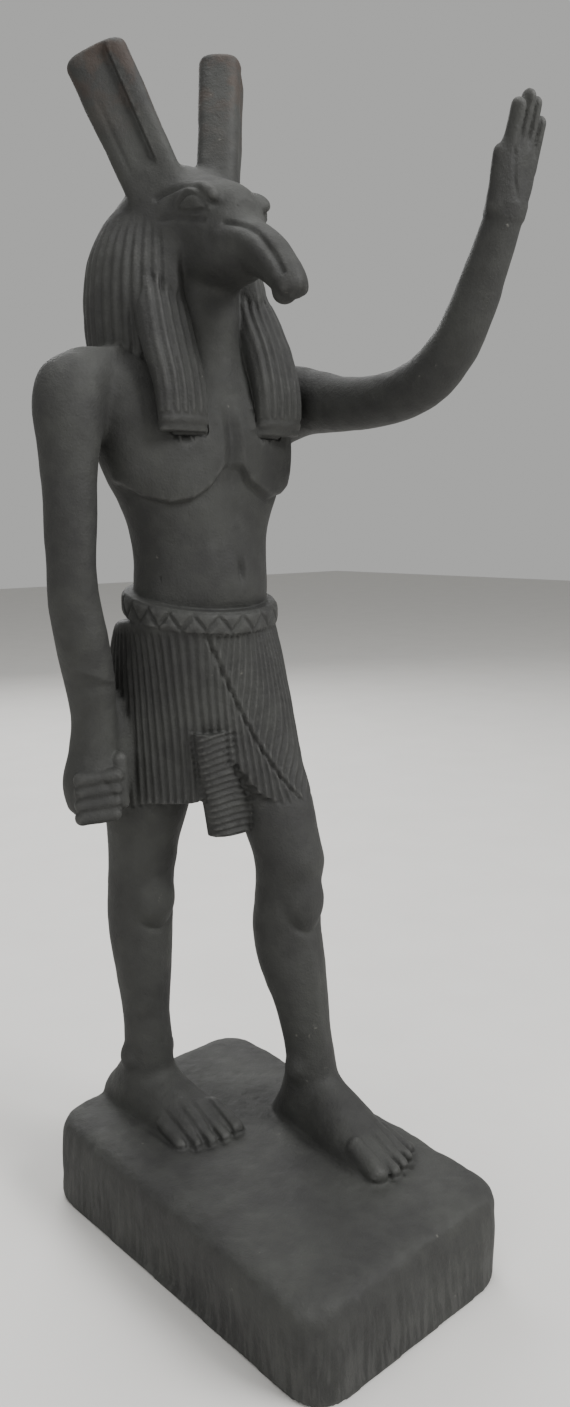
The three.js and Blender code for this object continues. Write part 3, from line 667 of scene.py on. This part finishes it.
@dataclass
class Head:
    """Animal head with a curved snout, and the two tall square-cut ears."""

    skull: Rows = (
        (78, 9, 396, 414), (72, 16, 388, 423), (62, 20, 384, 428), (52, 21, 382, 428.5),
        (42, 21, 382, 425.5), (33, 19.5, 383, 421), (25, 17, 385, 418), (19, 14.2, 387, 415.4),
        (15, 10.4, 389, 412.4), (12.8, 6.4, 393, 408.4),
    )
    muzzle: Rows = (
        (28, 395, 15, 12.5), (16, 393, 12, 10.4), (8, 390.4, 9.6, 9.2), (1, 386.4, 8.2, 8.6),
        (-4.8, 381.6, 7.2, 7.6), (-9.6, 376.8, 6.4, 6.5), (-12.8, 373.4, 5.4, 5), (-14.6, 371.4, 3.2, 2.9),
    )
    # Lines of the face as y and z, the same on both sides
    brow: Rows = ((42.6, 409.5), (38.8, 412.3), (33.1, 414), (28, 414.2), (23.4, 412.4), (19, 408.6), (15.4, 403.6))
    upper_lid: Rows = ((31.6, 405.4), (28.9, 408.2), (25.8, 409.8), (22.2, 409.0), (19.3, 406.4), (18.0, 403.6))
    lower_lid: Rows = ((31.6, 405.4), (28, 404.2), (24, 403.6), (20.6, 403.4), (18.0, 403.6))
    cheek_line: Rows = ((43, 401.4), (36.6, 402.4), (30.8, 402.2), (24, 400.8), (18.5, 400.4))
    mouth: Rows = (
        (15.3, 398.8), (11.5, 398.4), (6.5, 396.9), (1.7, 394.2), (-1.8, 391.4), (-5.9, 387.2),
        (-8.6, 384), (-11.4, 380), (-13.4, 376.6),
    )

    def forms(self) -> list[Form]:
        """Skull, snout, lower lip, jaw, brows and eyes."""
        y, half, low, high = (c[:, None] for c in smooth_rows(self.skull, 60).T)
        turn = turns(56)
        skull = rings_of(
            MIDPLANE + half * np.cos(turn), y, (low + high) / 2 + (high - low) / 2 * np.sin(turn)
        )
        muzzle = [(MIDPLANE, *row) for row in self.muzzle]
        forms = [
            loft("skull", skull, 8.0),
            bent("muzzle", muzzle, 4.0),
            egg("muzzle", (MIDPLANE, -7.4, 372.4), (4.8, 4, 4), 1.6),
            egg("muzzle", (MIDPLANE, 24, 388), (13.5, 15, 8.5), 6.0),
        ]
        for side in (-1, 1):
            forms.append(egg("skull", (MIDPLANE + side * 12.6, 28, 408.6), (5.4, 12.5, 6.4), 3.0))
            forms.append(egg("eyes", (MIDPLANE + side * 13.4, 24.6, 405.6), (3.4, 7.2, 4.0), 0.9))
        return forms

    def carving(self, skin: Skin) -> Array:
        """Brow, lids, cheek line and mouth."""
        p = skin.points
        flat = p[:, 1:]
        on = np.maximum.reduce([skin.on("skull", 2.6), skin.on("muzzle", 2.6), skin.on("eyes", 2.0)])
        on *= ramp(np.abs(p[:, 0] - MIDPLANE), 3.0, 5.0) * (p[:, 2] > 366)
        near = on > 0.01
        sink = np.zeros(len(p))
        cuts = (
            (self.brow, 1.5, 1.25), (self.upper_lid, 0.8, 0.75), (self.lower_lid, 0.6, 0.65),
            (self.cheek_line, 0.75, 1.1), (self.mouth, 1.2, 0.95),
        )
        for path, depth, width in cuts:
            distance, along = path_distance(flat[near], path)
            sink[near] += depth * bell(distance, width) * ramp(along, 0, 0.08) * ramp(along, 1.0, 0.94)
        lid, _ = path_distance(flat[near], [(y, z + 2.1) for y, z in self.upper_lid])
        sink[near] -= 0.45 * bell(lid, 1.0)
        lip, _ = path_distance(flat[near], [(y + 1.2, z - 3.6) for y, z in self.mouth])
        sink[near] -= 0.8 * bell(lip, 2.6) * skin.on("muzzle", 2.6)[near]
        return on * sink


@dataclass
class Ears:
    """Tall blocks with square-cut tops, each with a channel down its outward face."""

    right: dict[str, Sequence[float]] = field(
        default_factory=lambda: {
            "root": (-6.4, 45.8, 411), "top": (-21.8, 65, 465.5), "width": (11.4, 12.4), "thick": (6.4, 7.6)
        }
    )
    left: dict[str, Sequence[float]] = field(
        default_factory=lambda: {
            "root": (21, 45.8, 414), "top": (36.4, 61.4, 471.5), "width": (12, 12.2), "thick": (8, 8.8)
        }
    )
    turn: float = math.radians(45)

    def axes(self, ear: dict[str, Sequence[float]], side: int) -> tuple[Array, Array, Array, float]:
        """Directions up the ear, across it and out of its channelled face, and its length."""
        rise = np.subtract(ear["top"], ear["root"])
        along = unit(rise)
        facing = np.array([side * math.sin(self.turn), -math.cos(self.turn), 0.0])
        facing = unit(facing - along * (facing @ along))
        return along, -side * np.cross(along, facing), facing, float(np.linalg.norm(rise))

    def forms(self) -> list[Form]:
        """Both ears."""
        forms = []
        for ear, side in ((self.right, -1), (self.left, 1)):
            along, across, facing, length = self.axes(ear, side)
            turn = turns(56)[:, None]
            rings = []
            for t in np.concatenate([np.linspace(-0.06, 0.955, 30), [0.975, 0.99, 1.0, 1.004]]):
                shrink = 1 - 0.2 * max(0.0, (t - 0.955) / 0.049) ** 2.2
                half = np.interp(t, (0, 1), ear["width"]) * shrink
                depth = np.interp(t, (0, 1), ear["thick"]) * shrink
                centre = np.asarray(ear["root"]) + along * length * t
                rings.append(centre + across * half * power(np.cos(turn), 0.5) + facing * depth * power(np.sin(turn), 0.55))
            forms.append(loft("ears", np.stack(rings), 3.0))
        return forms

    def carving(self, skin: Skin) -> Array:
        """The channels: shallow at the outer edge and deepest against the inner wall."""
        p, n = skin.points, skin.normals
        sink = np.zeros(len(p))
        for ear, side in ((self.right, -1), (self.left, 1)):
            along, across, facing, length = self.axes(ear, side)
            offset = p - np.asarray(ear["root"])
            t = offset @ along / length
            u = offset @ across / np.interp(t, (0, 1), ear["width"])
            on = skin.on("ears", 2.0) * ramp(n @ facing, 0.3, 0.75) * ramp(offset @ facing, 1.0, 4.0)
            on *= ramp(t, 0.17, 0.27) * ramp(t, 1.0, 0.93)
            bed = np.clip((u + 0.56) / 0.94, 0, 1) * ramp(u, 0.44, 0.34)
            sink += on * (2.3 * bed**1.4 + 0.5 * bell(u + 0.52, 0.07) * ramp(t, 0.85, 0.5))
        return sink


@dataclass
class Wig:
    """Long wig behind the face, with two ends on the chest."""

    mass: Rows = (
        (333, 55, 33, 19), (340, 55.6, 36, 23.4), (350, 56, 38.8, 27.6), (362, 56.2, 40.2, 30.4),
        (375, 56.6, 40.2, 31), (384, 57, 39, 30.4), (392, 57.6, 36.8, 28.4), (400, 58.6, 32.8, 25.4),
        (408, 59.4, 26.8, 20.8), (415, 59.6, 18, 13.6),
    )
    strands: int = 58
    opening: Sequence[float] = (math.radians(17), math.radians(31))
    set_back: float = 0.62
    # Ends on the chest: height, distance from the midplane, y, half width and half thickness
    end: Rows = (
        (324.5, 23.6, 23.8, 10.5, 3.4), (331, 23.8, 23, 11, 4.4), (343, 24.2, 24.8, 11.2, 5.6),
        (356, 24.5, 29.8, 11.2, 7), (370, 23.2, 36, 10.6, 7.5), (381, 22, 40, 8.6, 6),
    )
    end_strands: float = 6.0
    bands: Sequence[float] = (326.6, 330.4)

    def forms(self) -> list[Form]:
        """The mass round the head and the two ends."""
        z, y, a, b = (c[:, None] for c in smooth_rows(self.mass, 70).T)
        turn = turns(120)
        front = np.abs(np.arctan2(np.cos(turn), -np.sin(turn)))
        scale = 1 - self.set_back * (1 - ramp(front, *self.opening))
        rings = rings_of(MIDPLANE + a * scale * np.cos(turn), y + b * scale * np.sin(turn), z)
        forms = [loft("wig", rings, 1.6)]
        for side in (-1, 1):
            z, apart, y, half, thick = (c[:, None] for c in smooth_rows(self.end, 50).T)
            turn = turns(48)
            rings = rings_of(
                MIDPLANE + side * (apart + half * power(np.cos(turn), 0.8)),
                y + thick * power(np.sin(turn), 0.75),
                z,
            )
            forms.append(loft("wig_ends", rings, 1.4))
        return forms

    def carving(self, skin: Skin) -> Array:
        """Strands down the mass and its ends, a plain border round the face and bands at the ends."""
        p = skin.points
        centre = np.interp(p[:, 2], [row[0] for row in self.mass], [row[1] for row in self.mass])
        turn = np.arctan2(p[:, 1] - centre, p[:, 0] - MIDPLANE)
        front = np.abs(np.arctan2(np.cos(turn), -np.sin(turn)))
        fade = ramp(p[:, 2], 409, 392) * ramp(front, 0.72, 0.8) * ramp(np.abs(skin.normals[:, 2]), 0.8, 0.5)
        phase = turn / (2 * math.pi) * self.strands + 0.06 * noise(p, (9, 9, 30), 7)
        sink = skin.on("wig", 2.0) * fade * 0.8 * valley(phase, 1.6)
        z, apart, _, half, _ = smooth_rows(self.end, 50).T
        u = (np.abs(p[:, 0] - MIDPLANE) - np.interp(p[:, 2], z, apart)) / np.interp(p[:, 2], z, half)
        on = skin.on("wig_ends", 1.6) * ramp(skin.normals[:, 1], 0.3, -0.1)
        lines = valley(u * self.end_strands / 2 + 0.05 * noise(p, (8, 8, 24), 8), 1.6)
        sink += on * 0.85 * lines * ramp(p[:, 2], self.bands[1], self.bands[1] + 1.6) * ramp(np.abs(u), 1.0, 0.9)
        sink += on * 0.5 * (bell(p[:, 2] - self.bands[1], 0.8) + 0.6 * bell(p[:, 2] - self.bands[0], 0.7))
        return sink


@dataclass
class Kilt:
    """Pleated kilt with a slanting edge in front and a hanging apron."""

    waist: Sequence[float] = (7, 46.4, 33.2, 25.2, 0.0, 252)
    hem: Sequence[float] = (7.4, 43.2, 43, 22.5, math.radians(-38), 179)
    fullness: float = 2.3
    flare: Sequence[float] = (0.6, 0.2, math.radians(142))
    notch: Sequence[float] = (math.radians(-104), 0.32, 17)
    left_drop: float = 3.5
    back_drop: float = 5.0
    pleats: int = 72
    edge_turn: Sequence[float] = (math.radians(-126), math.radians(-58))
    apron: Rows = ((164.8, 9.3), (168, 10), (186, 13.6), (208, 17))
    apron_place: Sequence[float] = (5, 26, 6)
    fold_pitch: float = 2.8

    def radius(self, oval: Sequence[float], turn: Array) -> Array:
        """Distance from an oval's centre to its edge."""
        t = turn - oval[4]
        n = self.fullness
        return (np.abs(np.cos(t) / oval[2]) ** n + np.abs(np.sin(t) / oval[3]) ** n) ** (-1 / n)

    def hem_height(self, turn: Array) -> Array:
        """Height of the hem, raised in front and dropped at the left and the back."""
        off = np.arctan2(np.sin(turn - self.notch[0]), np.cos(turn - self.notch[0]))
        drop = self.left_drop * np.maximum(0, np.cos(turn)) + self.back_drop * np.maximum(0, np.sin(turn))
        return self.hem[5] + self.notch[2] * bell(off, self.notch[1]) - drop

    def forms(self) -> list[Form]:
        """Skirt and apron."""
        turn = turns(144)
        down = np.linspace(0, 1, 60)[:, None]
        even, swing, towards = self.flare
        flare = down ** (even - swing * np.cos(turn - towards))
        reach = self.radius(self.waist, turn) * (1 - flare) + self.radius(self.hem, turn) * flare
        rings = rings_of(
            self.waist[0] * (1 - down) + self.hem[0] * down + reach * np.cos(turn),
            self.waist[1] * (1 - down) + self.hem[1] * down + reach * np.sin(turn),
            self.waist[5] * (1 - down) + self.hem_height(turn) * down,
        )
        z, half = (c[:, None] for c in smooth_rows(self.apron, 40).T)
        x, y, thick = self.apron_place
        turn = turns(48)
        sheet = rings_of(x + half * power(np.cos(turn), 0.8), y + thick * power(np.sin(turn), 0.8), z)
        return [loft("kilt", rings, 1.6), loft("apron", sheet, 1.2)]

    def carving(self, skin: Skin) -> Array:
        """Pleats of both wings, the slanting edge between them and the apron's level folds."""
        p = skin.points
        down = np.clip((self.waist[5] - p[:, 2]) / (self.waist[5] - self.hem[5]), 0, 1.05)
        x = p[:, 0] - (self.waist[0] * (1 - down) + self.hem[0] * down)
        y = p[:, 1] - (self.waist[1] * (1 - down) + self.hem[1] * down)
        turn = np.arctan2(y, x)
        all_turns = np.linspace(-math.pi, math.pi, 361)
        outline = self.radius(self.hem, all_turns)[:, None] * np.stack([np.cos(all_turns), np.sin(all_turns)], 1)
        arc = np.concatenate([[0], np.cumsum(np.linalg.norm(np.diff(outline, axis=0), axis=1))])
        around = np.interp(turn, all_turns, arc)
        start, end = self.edge_turn
        edge = np.interp(start + (end - start) * down, all_turns, arc)
        past = around - edge
        pitch = arc[-1] / self.pleats
        front = ramp(turn, math.radians(-178), math.radians(-150)) * ramp(turn, math.radians(10), math.radians(-25))
        left_wing = around + 11 * down * bell(np.maximum(past, 0), 17) * front
        right_wing = around - 9 * np.clip(down - 0.35, 0, 1) ** 1.6 * bell(np.minimum(past, 0), 26) * front
        phase = np.where(past > 0, left_wing, right_wing) / pitch + 0.08 * noise(p, (7, 7, 26), 9)
        on = skin.on("kilt", 1.9) * ramp(np.abs(skin.normals[:, 2]), 0.85, 0.6)
        under = ramp(p[:, 2], 250, 246)
        sink = on * under * 0.85 * valley(phase, 1.5)
        lap = (turn > math.radians(-150)) & (turn < math.radians(-30))
        sink += np.where(lap, on * under * 0.9 * bell(past, 0.9), 0)
        sink -= np.where(lap, on * under * 0.5 * bell(past - 1.6, 1.3), 0)
        sheet = skin.on("apron", 1.7) * ramp(skin.normals[:, 1], 0.1, -0.3)
        bow = 0.012 * (p[:, 0] - self.apron_place[0]) ** 2
        return sink + sheet * 0.75 * valley((p[:, 2] + bow) / self.fold_pitch, 1.4)


@dataclass
class Belt:
    """Rolled belt with a zigzag line round it."""

    centre: Sequence[float] = (8.6, 46.4, 256.5)
    long: float = 30.6
    short: float = 23.6
    dip: float = 5.5
    half_height: float = 5.0
    bulge: float = 4.0
    zigzags: int = 20
    section: Rows = (
        (1.02, 0), (1, 0.5), (0.72, 0.95), (-0.4, 1.06), (-1.7, 1), (-1.7, -1), (-0.4, -1.06), (0.72, -0.95),
        (1, -0.5), (1.02, 0),
    )

    def forms(self) -> list[Form]:
        """The roll as a closed ring."""
        turn = turns(160)[:, None]
        out, lift = (c[None, :] for c in smooth_rows(self.section, 40)[:-1].T)
        rings = rings_of(
            self.centre[0] + (self.long + self.bulge * out) * np.cos(turn),
            self.centre[1] + (self.short + self.bulge * out) * np.sin(turn),
            self.centre[2] + self.dip * np.sin(turn) + self.half_height * lift,
        )
        rows, sides, _ = rings.shape
        grid = np.arange(rows * sides).reshape(rows, sides)
        a, b = grid, np.roll(grid, -1, axis=1)
        c, d = np.roll(b, -1, axis=0), np.roll(a, -1, axis=0)
        faces = np.concatenate([np.stack([a, b, c], -1).reshape(-1, 3), np.stack([a, c, d], -1).reshape(-1, 3)])
        return [Form("belt", rings.reshape(-1, 3), faces, 0.8)]

    def carving(self, skin: Skin) -> Array:
        """The zigzag line and a fine line along each edge."""
        p = skin.points
        turn = np.arctan2((p[:, 1] - self.centre[1]) / self.short, (p[:, 0] - self.centre[0]) / self.long)
        lift = (p[:, 2] - self.centre[2] - self.dip * np.sin(turn)) / self.half_height
        wave = np.abs((turn / (2 * math.pi) * self.zigzags) % 1.0 - 0.5) * 4 - 1
        on = skin.on("belt", 1.6) * ramp(np.abs(skin.normals[:, 2]), 0.95, 0.7)
        zigzag = bell((lift - 0.62 * wave) * self.half_height * 0.62, 0.75)
        return on * (0.95 * zigzag + 0.35 * bell((np.abs(lift) - 0.86) * self.half_height, 0.5))


@dataclass
class Statue:
    """The whole figure, carved in one piece with its base."""

    base: Base = field(default_factory=Base)
    legs: Legs = field(default_factory=Legs)
    torso: Torso = field(default_factory=Torso)
    hanging_arm: HangingArm = field(default_factory=HangingArm)
    raised_arm: RaisedArm = field(default_factory=RaisedArm)
    kilt: Kilt = field(default_factory=Kilt)
    belt: Belt = field(default_factory=Belt)
    wig: Wig = field(default_factory=Wig)
    head: Head = field(default_factory=Head)
    ears: Ears = field(default_factory=Ears)
    fine_pitch: float = 0.62
    rough_pitch: float = 1.1
    face_limit: int = 190_000

    def parts(self) -> list[object]:
        """The parts in the order in which they are joined."""
        return [
            self.base, self.legs, self.torso, self.hanging_arm, self.raised_arm, self.kilt, self.belt,
            self.wig, self.head, self.ears,
        ]

    def carve(self, rough: bool) -> bpy.types.Object:
        """Joins the forms, sinks the carving and makes the mesh.

        Args:
            rough: True for a quick coarse model.

        Returns:
            The figure's object.
        """
        block = StoneBlock(self.rough_pitch if rough else self.fine_pitch)
        for part in self.parts():
            for form in part.forms():
                block.add(form)
            LOG.info("%s joined", type(part).__name__)
        skin = block.skin()
        LOG.info("skin of %d points", len(skin.points))
        sink = sum(part.carving(skin) for part in self.parts())
        hand = 0.16 * noise(skin.points, 5.0, 20) + 0.2 * noise(skin.points, 13.0, 21)
        sink = sink + hand * ramp(skin.points[:, 2], 0.5, 3.0)
        places = skin.points - skin.normals * sink[:, None]
        places[:, 2] = np.where(skin.points[:, 2] < 0.4, 0.0, places[:, 2])
        return self.mesh(places, skin.faces)

    def mesh(self, places: Array, faces: Array) -> bpy.types.Object:
        """Makes the object and thins its triangles to the limit."""
        mesh = bpy.data.meshes.new("carved_statue")
        mesh.vertices.add(len(places))
        mesh.vertices.foreach_set("co", (places * MM).astype(np.float32).ravel())
        mesh.loops.add(faces.size)
        mesh.loops.foreach_set("vertex_index", faces.astype(np.int32).ravel())
        mesh.polygons.add(len(faces))
        mesh.polygons.foreach_set("loop_start", np.arange(0, faces.size, 3, dtype=np.int32))
        mesh.update(calc_edges=True)
        mesh.validate()
        figure = bpy.data.objects.new("carved_statue", mesh)
        bpy.context.scene.collection.objects.link(figure)
        if len(mesh.polygons) > self.face_limit:
            thin = figure.modifiers.new("thin", "DECIMATE")
            thin.ratio = self.face_limit / len(mesh.polygons)
            bpy.context.view_layer.objects.active = figure
            figure.select_set(True)
            bpy.ops.object.modifier_apply(modifier="thin")
        figure.data.polygons.foreach_set("use_smooth", np.ones(len(figure.data.polygons), bool))
        LOG.info("carved statue of %d triangles", len(figure.data.polygons))
        return figure


# Shader maths

Number = Union[float, int]


class Wire:
    """One output of a shader node, which adds Math nodes when it is used in an expression."""

    def __init__(self, shader: "Shader", socket: bpy.types.NodeSocket) -> None:
        """Wraps a socket of a shader's node."""
        self.shader = shader
        self.socket = socket

    def _math(self, operation: str, *values: Union["Wire", Number]) -> "Wire":
        """A Math node of that operation on the values."""
        return self.shader.node("ShaderNodeMath", {"operation": operation}, dict(enumerate(values)))

    def __add__(self, other: Union["Wire", Number]) -> "Wire":
        """Sum."""
        return self._math("ADD", self, other)

    def __radd__(self, other: Number) -> "Wire":
        """Sum with a number in front."""
        return self._math("ADD", other, self)

    def __sub__(self, other: Union["Wire", Number]) -> "Wire":
        """Difference."""
        return self._math("SUBTRACT", self, other)

    def __rsub__(self, other: Number) -> "Wire":
        """Difference from a number."""
        return self._math("SUBTRACT", other, self)

    def __mul__(self, other: Union["Wire", Number]) -> "Wire":
        """Product."""
        return self._math("MULTIPLY", self, other)

    def __rmul__(self, other: Number) -> "Wire":
        """Product with a number in front."""
        return self._math("MULTIPLY", other, self)

    def ramp(self, low: float, high: float) -> "Wire":
        """Smooth step of this value from 0 at low to 1 at high."""
        return self.shader.node(
            "ShaderNodeMapRange",
            {"interpolation_type": "SMOOTHSTEP"},
            {"Value": self, "From Min": low, "From Max": high},
        )


class Shader:
    """A material's node tree and the few ways that nodes are added to it."""

    def __init__(self, name: str) -> None:
        """Starts a material with nothing but its output."""
        self.material = bpy.data.materials.new(name)
        self.material.use_nodes = True
        self.tree = self.material.node_tree
        self.tree.nodes.clear()

    def node(
        self,
        kind: str,
        settings: dict[str, object] | None = None,
        inputs: dict[Union[str, int], object] | None = None,
        output: Union[str, int] = 0,
    ) -> Wire:
        """Adds any node.

        Args:
            kind: Blender's type name.
            settings: Properties set before the inputs, with a colour ramp's stops under stops.
            inputs: Values or wires by socket name or number.
            output: The output to give back.

        Returns:
            The chosen output.
        """
        made = self.tree.nodes.new(kind)
        for key, value in (settings or {}).items():
            if key == "stops":
                for extra in range(len(value) - 2):
                    made.color_ramp.elements.new(0.5 + extra * 0.01)
                for element, (place, colour) in zip(made.color_ramp.elements, value):
                    element.position = place
                    element.color = (*colour, 1.0)
            else:
                setattr(made, key, value)
        for key, value in (inputs or {}).items():
            if isinstance(value, Wire):
                self.tree.links.new(value.socket, made.inputs[key])
            else:
                made.inputs[key].default_value = value
        return Wire(self, made.outputs[output])

    def places(self) -> Wire:
        """Object coordinates."""
        return self.node("ShaderNodeTexCoord", output="Object")

    def grain(self, size: float, detail: float = 3.0, stretch: Sequence[float] = (1, 1, 1)) -> Wire:
        """Noise from 0 to 1 with lumps of a size in millimetres."""
        mapped = self.node("ShaderNodeMapping", {}, {"Vector": self.places(), "Scale": tuple(stretch)})
        return self.node(
            "ShaderNodeTexNoise",
            {},
            {"Vector": mapped, "Scale": 1 / (size * MM), "Detail": detail, "Roughness": 0.55},
        )

    def tint(self, share: Union[Wire, Number], first: object, second: object) -> Wire:
        """Mix of two colours."""
        return self.node(
            "ShaderNodeMix", {"data_type": "RGBA"}, {"Factor": share, 6: first, 7: second}, output=2
        )

    def bump(self, height: Wire, depth: float, under: Wire | None = None) -> Wire:
        """Bump of a depth in millimetres over another."""
        inputs: dict[Union[str, int], object] = {"Height": height, "Distance": depth * MM, "Strength": 1.0}
        if under is not None:
            inputs["Normal"] = under
        return self.node("ShaderNodeBump", {}, inputs)

    def finish(self, surface: Wire) -> bpy.types.Material:
        """Joins the surface to the output and gives the material back."""
        end = self.tree.nodes.new("ShaderNodeOutputMaterial")
        self.tree.links.new(surface.socket, end.inputs["Surface"])
        return self.material


def colour(red: int, green: int, blue: int) -> tuple[float, float, float, float]:
    """Linear colour of an eye-wise one from 0 to 255."""
    return (*(((v / 255 + 0.055) / 1.055) ** 2.4 if v > 10 else v / 255 / 12.92 for v in (red, green, blue)), 1.0)


@dataclass(frozen=True)
class CarvedStone:
    """Dull black stone, greyer where it is rubbed, with pale flecks strewn over it."""

    dark: tuple[int, int, int] = (33, 33, 32)
    pale: tuple[int, int, int] = (50, 51, 48)
    worn: tuple[int, int, int] = (66, 66, 64)
    rust: tuple[int, int, int] = (58, 42, 32)

    def make(self) -> bpy.types.Material:
        """The material."""
        shader = Shader("black_stone")
        clouds = shader.grain(38, 4).ramp(0.36, 0.66)
        mottle = shader.grain(7, 5).ramp(0.35, 0.7)
        body = shader.tint(clouds * 0.55 + mottle * 0.3, colour(*self.dark), colour(*self.pale))
        edge = shader.node("ShaderNodeNewGeometry", output="Pointiness")
        rubbed = edge.ramp(0.508, 0.56) * shader.grain(3.2, 4).ramp(0.3, 0.62)
        body = shader.tint(rubbed * 0.62, body, colour(*self.worn))
        height = shader.node("ShaderNodeSeparateXYZ", {}, {0: shader.places()}, output="Z")
        low = 1 - height.ramp(0.0, 0.036)
        strokes = shader.grain(2.2, 3, (1, 1, 0.12)).ramp(0.42, 0.62)
        body = shader.tint(low * strokes * 0.5, body, colour(*self.worn))
        ear = height.ramp(0.425, 0.47) * shader.grain(9, 4).ramp(0.42, 0.62)
        body = shader.tint(ear * 0.5, body, colour(*self.rust))
        flecks = shader.grain(4.5, 3).ramp(0.7, 0.76) * shader.grain(30, 2).ramp(0.5, 0.62)
        body = shader.tint(flecks * 0.45, body, colour(105, 104, 98))
        rough = 0.62 + 0.2 * shader.grain(5, 4) - 0.08 * rubbed
        fine = shader.bump(shader.grain(0.9, 5), 0.22)
        marks = shader.bump(shader.grain(3.4, 4), 0.35, fine)
        surface = shader.node(
            "ShaderNodeBsdfPrincipled",
            {},
            {"Base Color": body, "Roughness": rough, "Normal": marks, "Specular IOR Level": 0.42},
        )
        return shader.finish(surface)


@dataclass(frozen=True)
class PaleFloor:
    """Plain pale floor, which is no part of the statue."""

    half: float = 4.0

    def make(self) -> bpy.types.Object:
        """The floor, at the height of the base's underside."""
        mesh = bpy.data.meshes.new("floor")
        h = self.half
        mesh.from_pydata([(-h, -h, 0), (h, -h, 0), (h, h, 0), (-h, h, 0)], [], [(0, 1, 2, 3)])
        floor = bpy.data.objects.new("floor", mesh)
        bpy.context.scene.collection.objects.link(floor)
        shader = Shader("pale_floor")
        speck = shader.grain(60, 3)
        tone = shader.tint(speck, (0.56, 0.55, 0.53, 1), (0.62, 0.61, 0.59, 1))
        surface = shader.node("ShaderNodeBsdfPrincipled", {}, {"Base Color": tone, "Roughness": 0.7})
        floor.data.materials.append(shader.finish(surface))
        return floor


class Side(Enum):
    """Where a lamp stands: its place in metres, its width and its power."""

    KEY = ((0.55, -1.15, 1.25), 0.75, 34.0)
    FILL = ((-1.35, -0.55, 0.75), 1.1, 11.0)
    TOP = ((0.05, 0.25, 1.7), 0.9, 16.0)
    RIM = ((0.6, 1.2, 0.9), 0.8, 12.0)


@dataclass(frozen=True)
class Studio:
    """Soft lamps and a pale surround."""

    aim: tuple[float, float, float] = (0.0, 0.0, 0.25)
    surround: float = 0.5

    def make(self) -> None:
        """Sets the lamps and the world."""
        for side in Side:
            place, width, watts = side.value
            lamp = bpy.data.lights.new(side.name.lower(), "AREA")
            lamp.size = width
            lamp.energy = watts
            holder = bpy.data.objects.new(side.name.lower(), lamp)
            holder.location = place
            aim = np.subtract(self.aim, place)
            holder.rotation_euler = look(aim, 0.0)
            bpy.context.scene.collection.objects.link(holder)
        world = bpy.data.worlds.new("surround")
        world.use_nodes = True
        world.node_tree.nodes["Background"].inputs["Color"].default_value = (0.9, 0.9, 0.88, 1)
        world.node_tree.nodes["Background"].inputs["Strength"].default_value = self.surround
        bpy.context.scene.world = world


def look(direction: Array, roll: float) -> tuple[float, float, float]:
    """Euler angles of a camera or lamp that looks along a direction."""
    x, y, z = unit(np.asarray(direction, float))
    return (math.pi / 2 + math.asin(z), roll, math.atan2(y, x) - math.pi / 2)


@dataclass(frozen=True)
class Eye:
    """Camera at the photo's place and angle."""

    place: tuple[float, float, float] = (-0.276, -0.321, 0.293)
    heading: float = math.radians(48)
    pitch: float = math.radians(-9.5)
    roll: float = math.radians(-0.5)
    lens: float = 28.66

    def make(self) -> None:
        """Adds the camera and makes it the scene's own."""
        flat = math.cos(self.pitch)
        direction = (flat * math.cos(self.heading), flat * math.sin(self.heading), math.sin(self.pitch))
        camera = bpy.data.cameras.new("photo_view")
        camera.lens = self.lens
        camera.sensor_width = 36
        camera.clip_start = 0.02
        holder = bpy.data.objects.new("photo_view", camera)
        holder.location = self.place
        x_angle, _, z_angle = look(direction, 0.0)
        holder.rotation_mode = "XYZ"
        holder.rotation_euler = (x_angle, 0.0, z_angle)
        holder.rotation_euler.rotate_axis("Z", self.roll)
        bpy.context.scene.collection.objects.link(holder)
        bpy.context.scene.camera = holder


def main() -> None:
    """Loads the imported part, carves the statue over it and sets the studio."""
    logging.basicConfig(level=logging.INFO, format="%(name)s %(message)s")
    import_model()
    figure = Statue().carve(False)
    figure.data.materials.append(CarvedStone().make())
    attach(figure, "root")
    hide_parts("statue")
    LOG.info("%s in place", figure.name)
    PaleFloor().make()
    Studio().make()
    Eye().make()


if __name__ == "__main__":
    main()
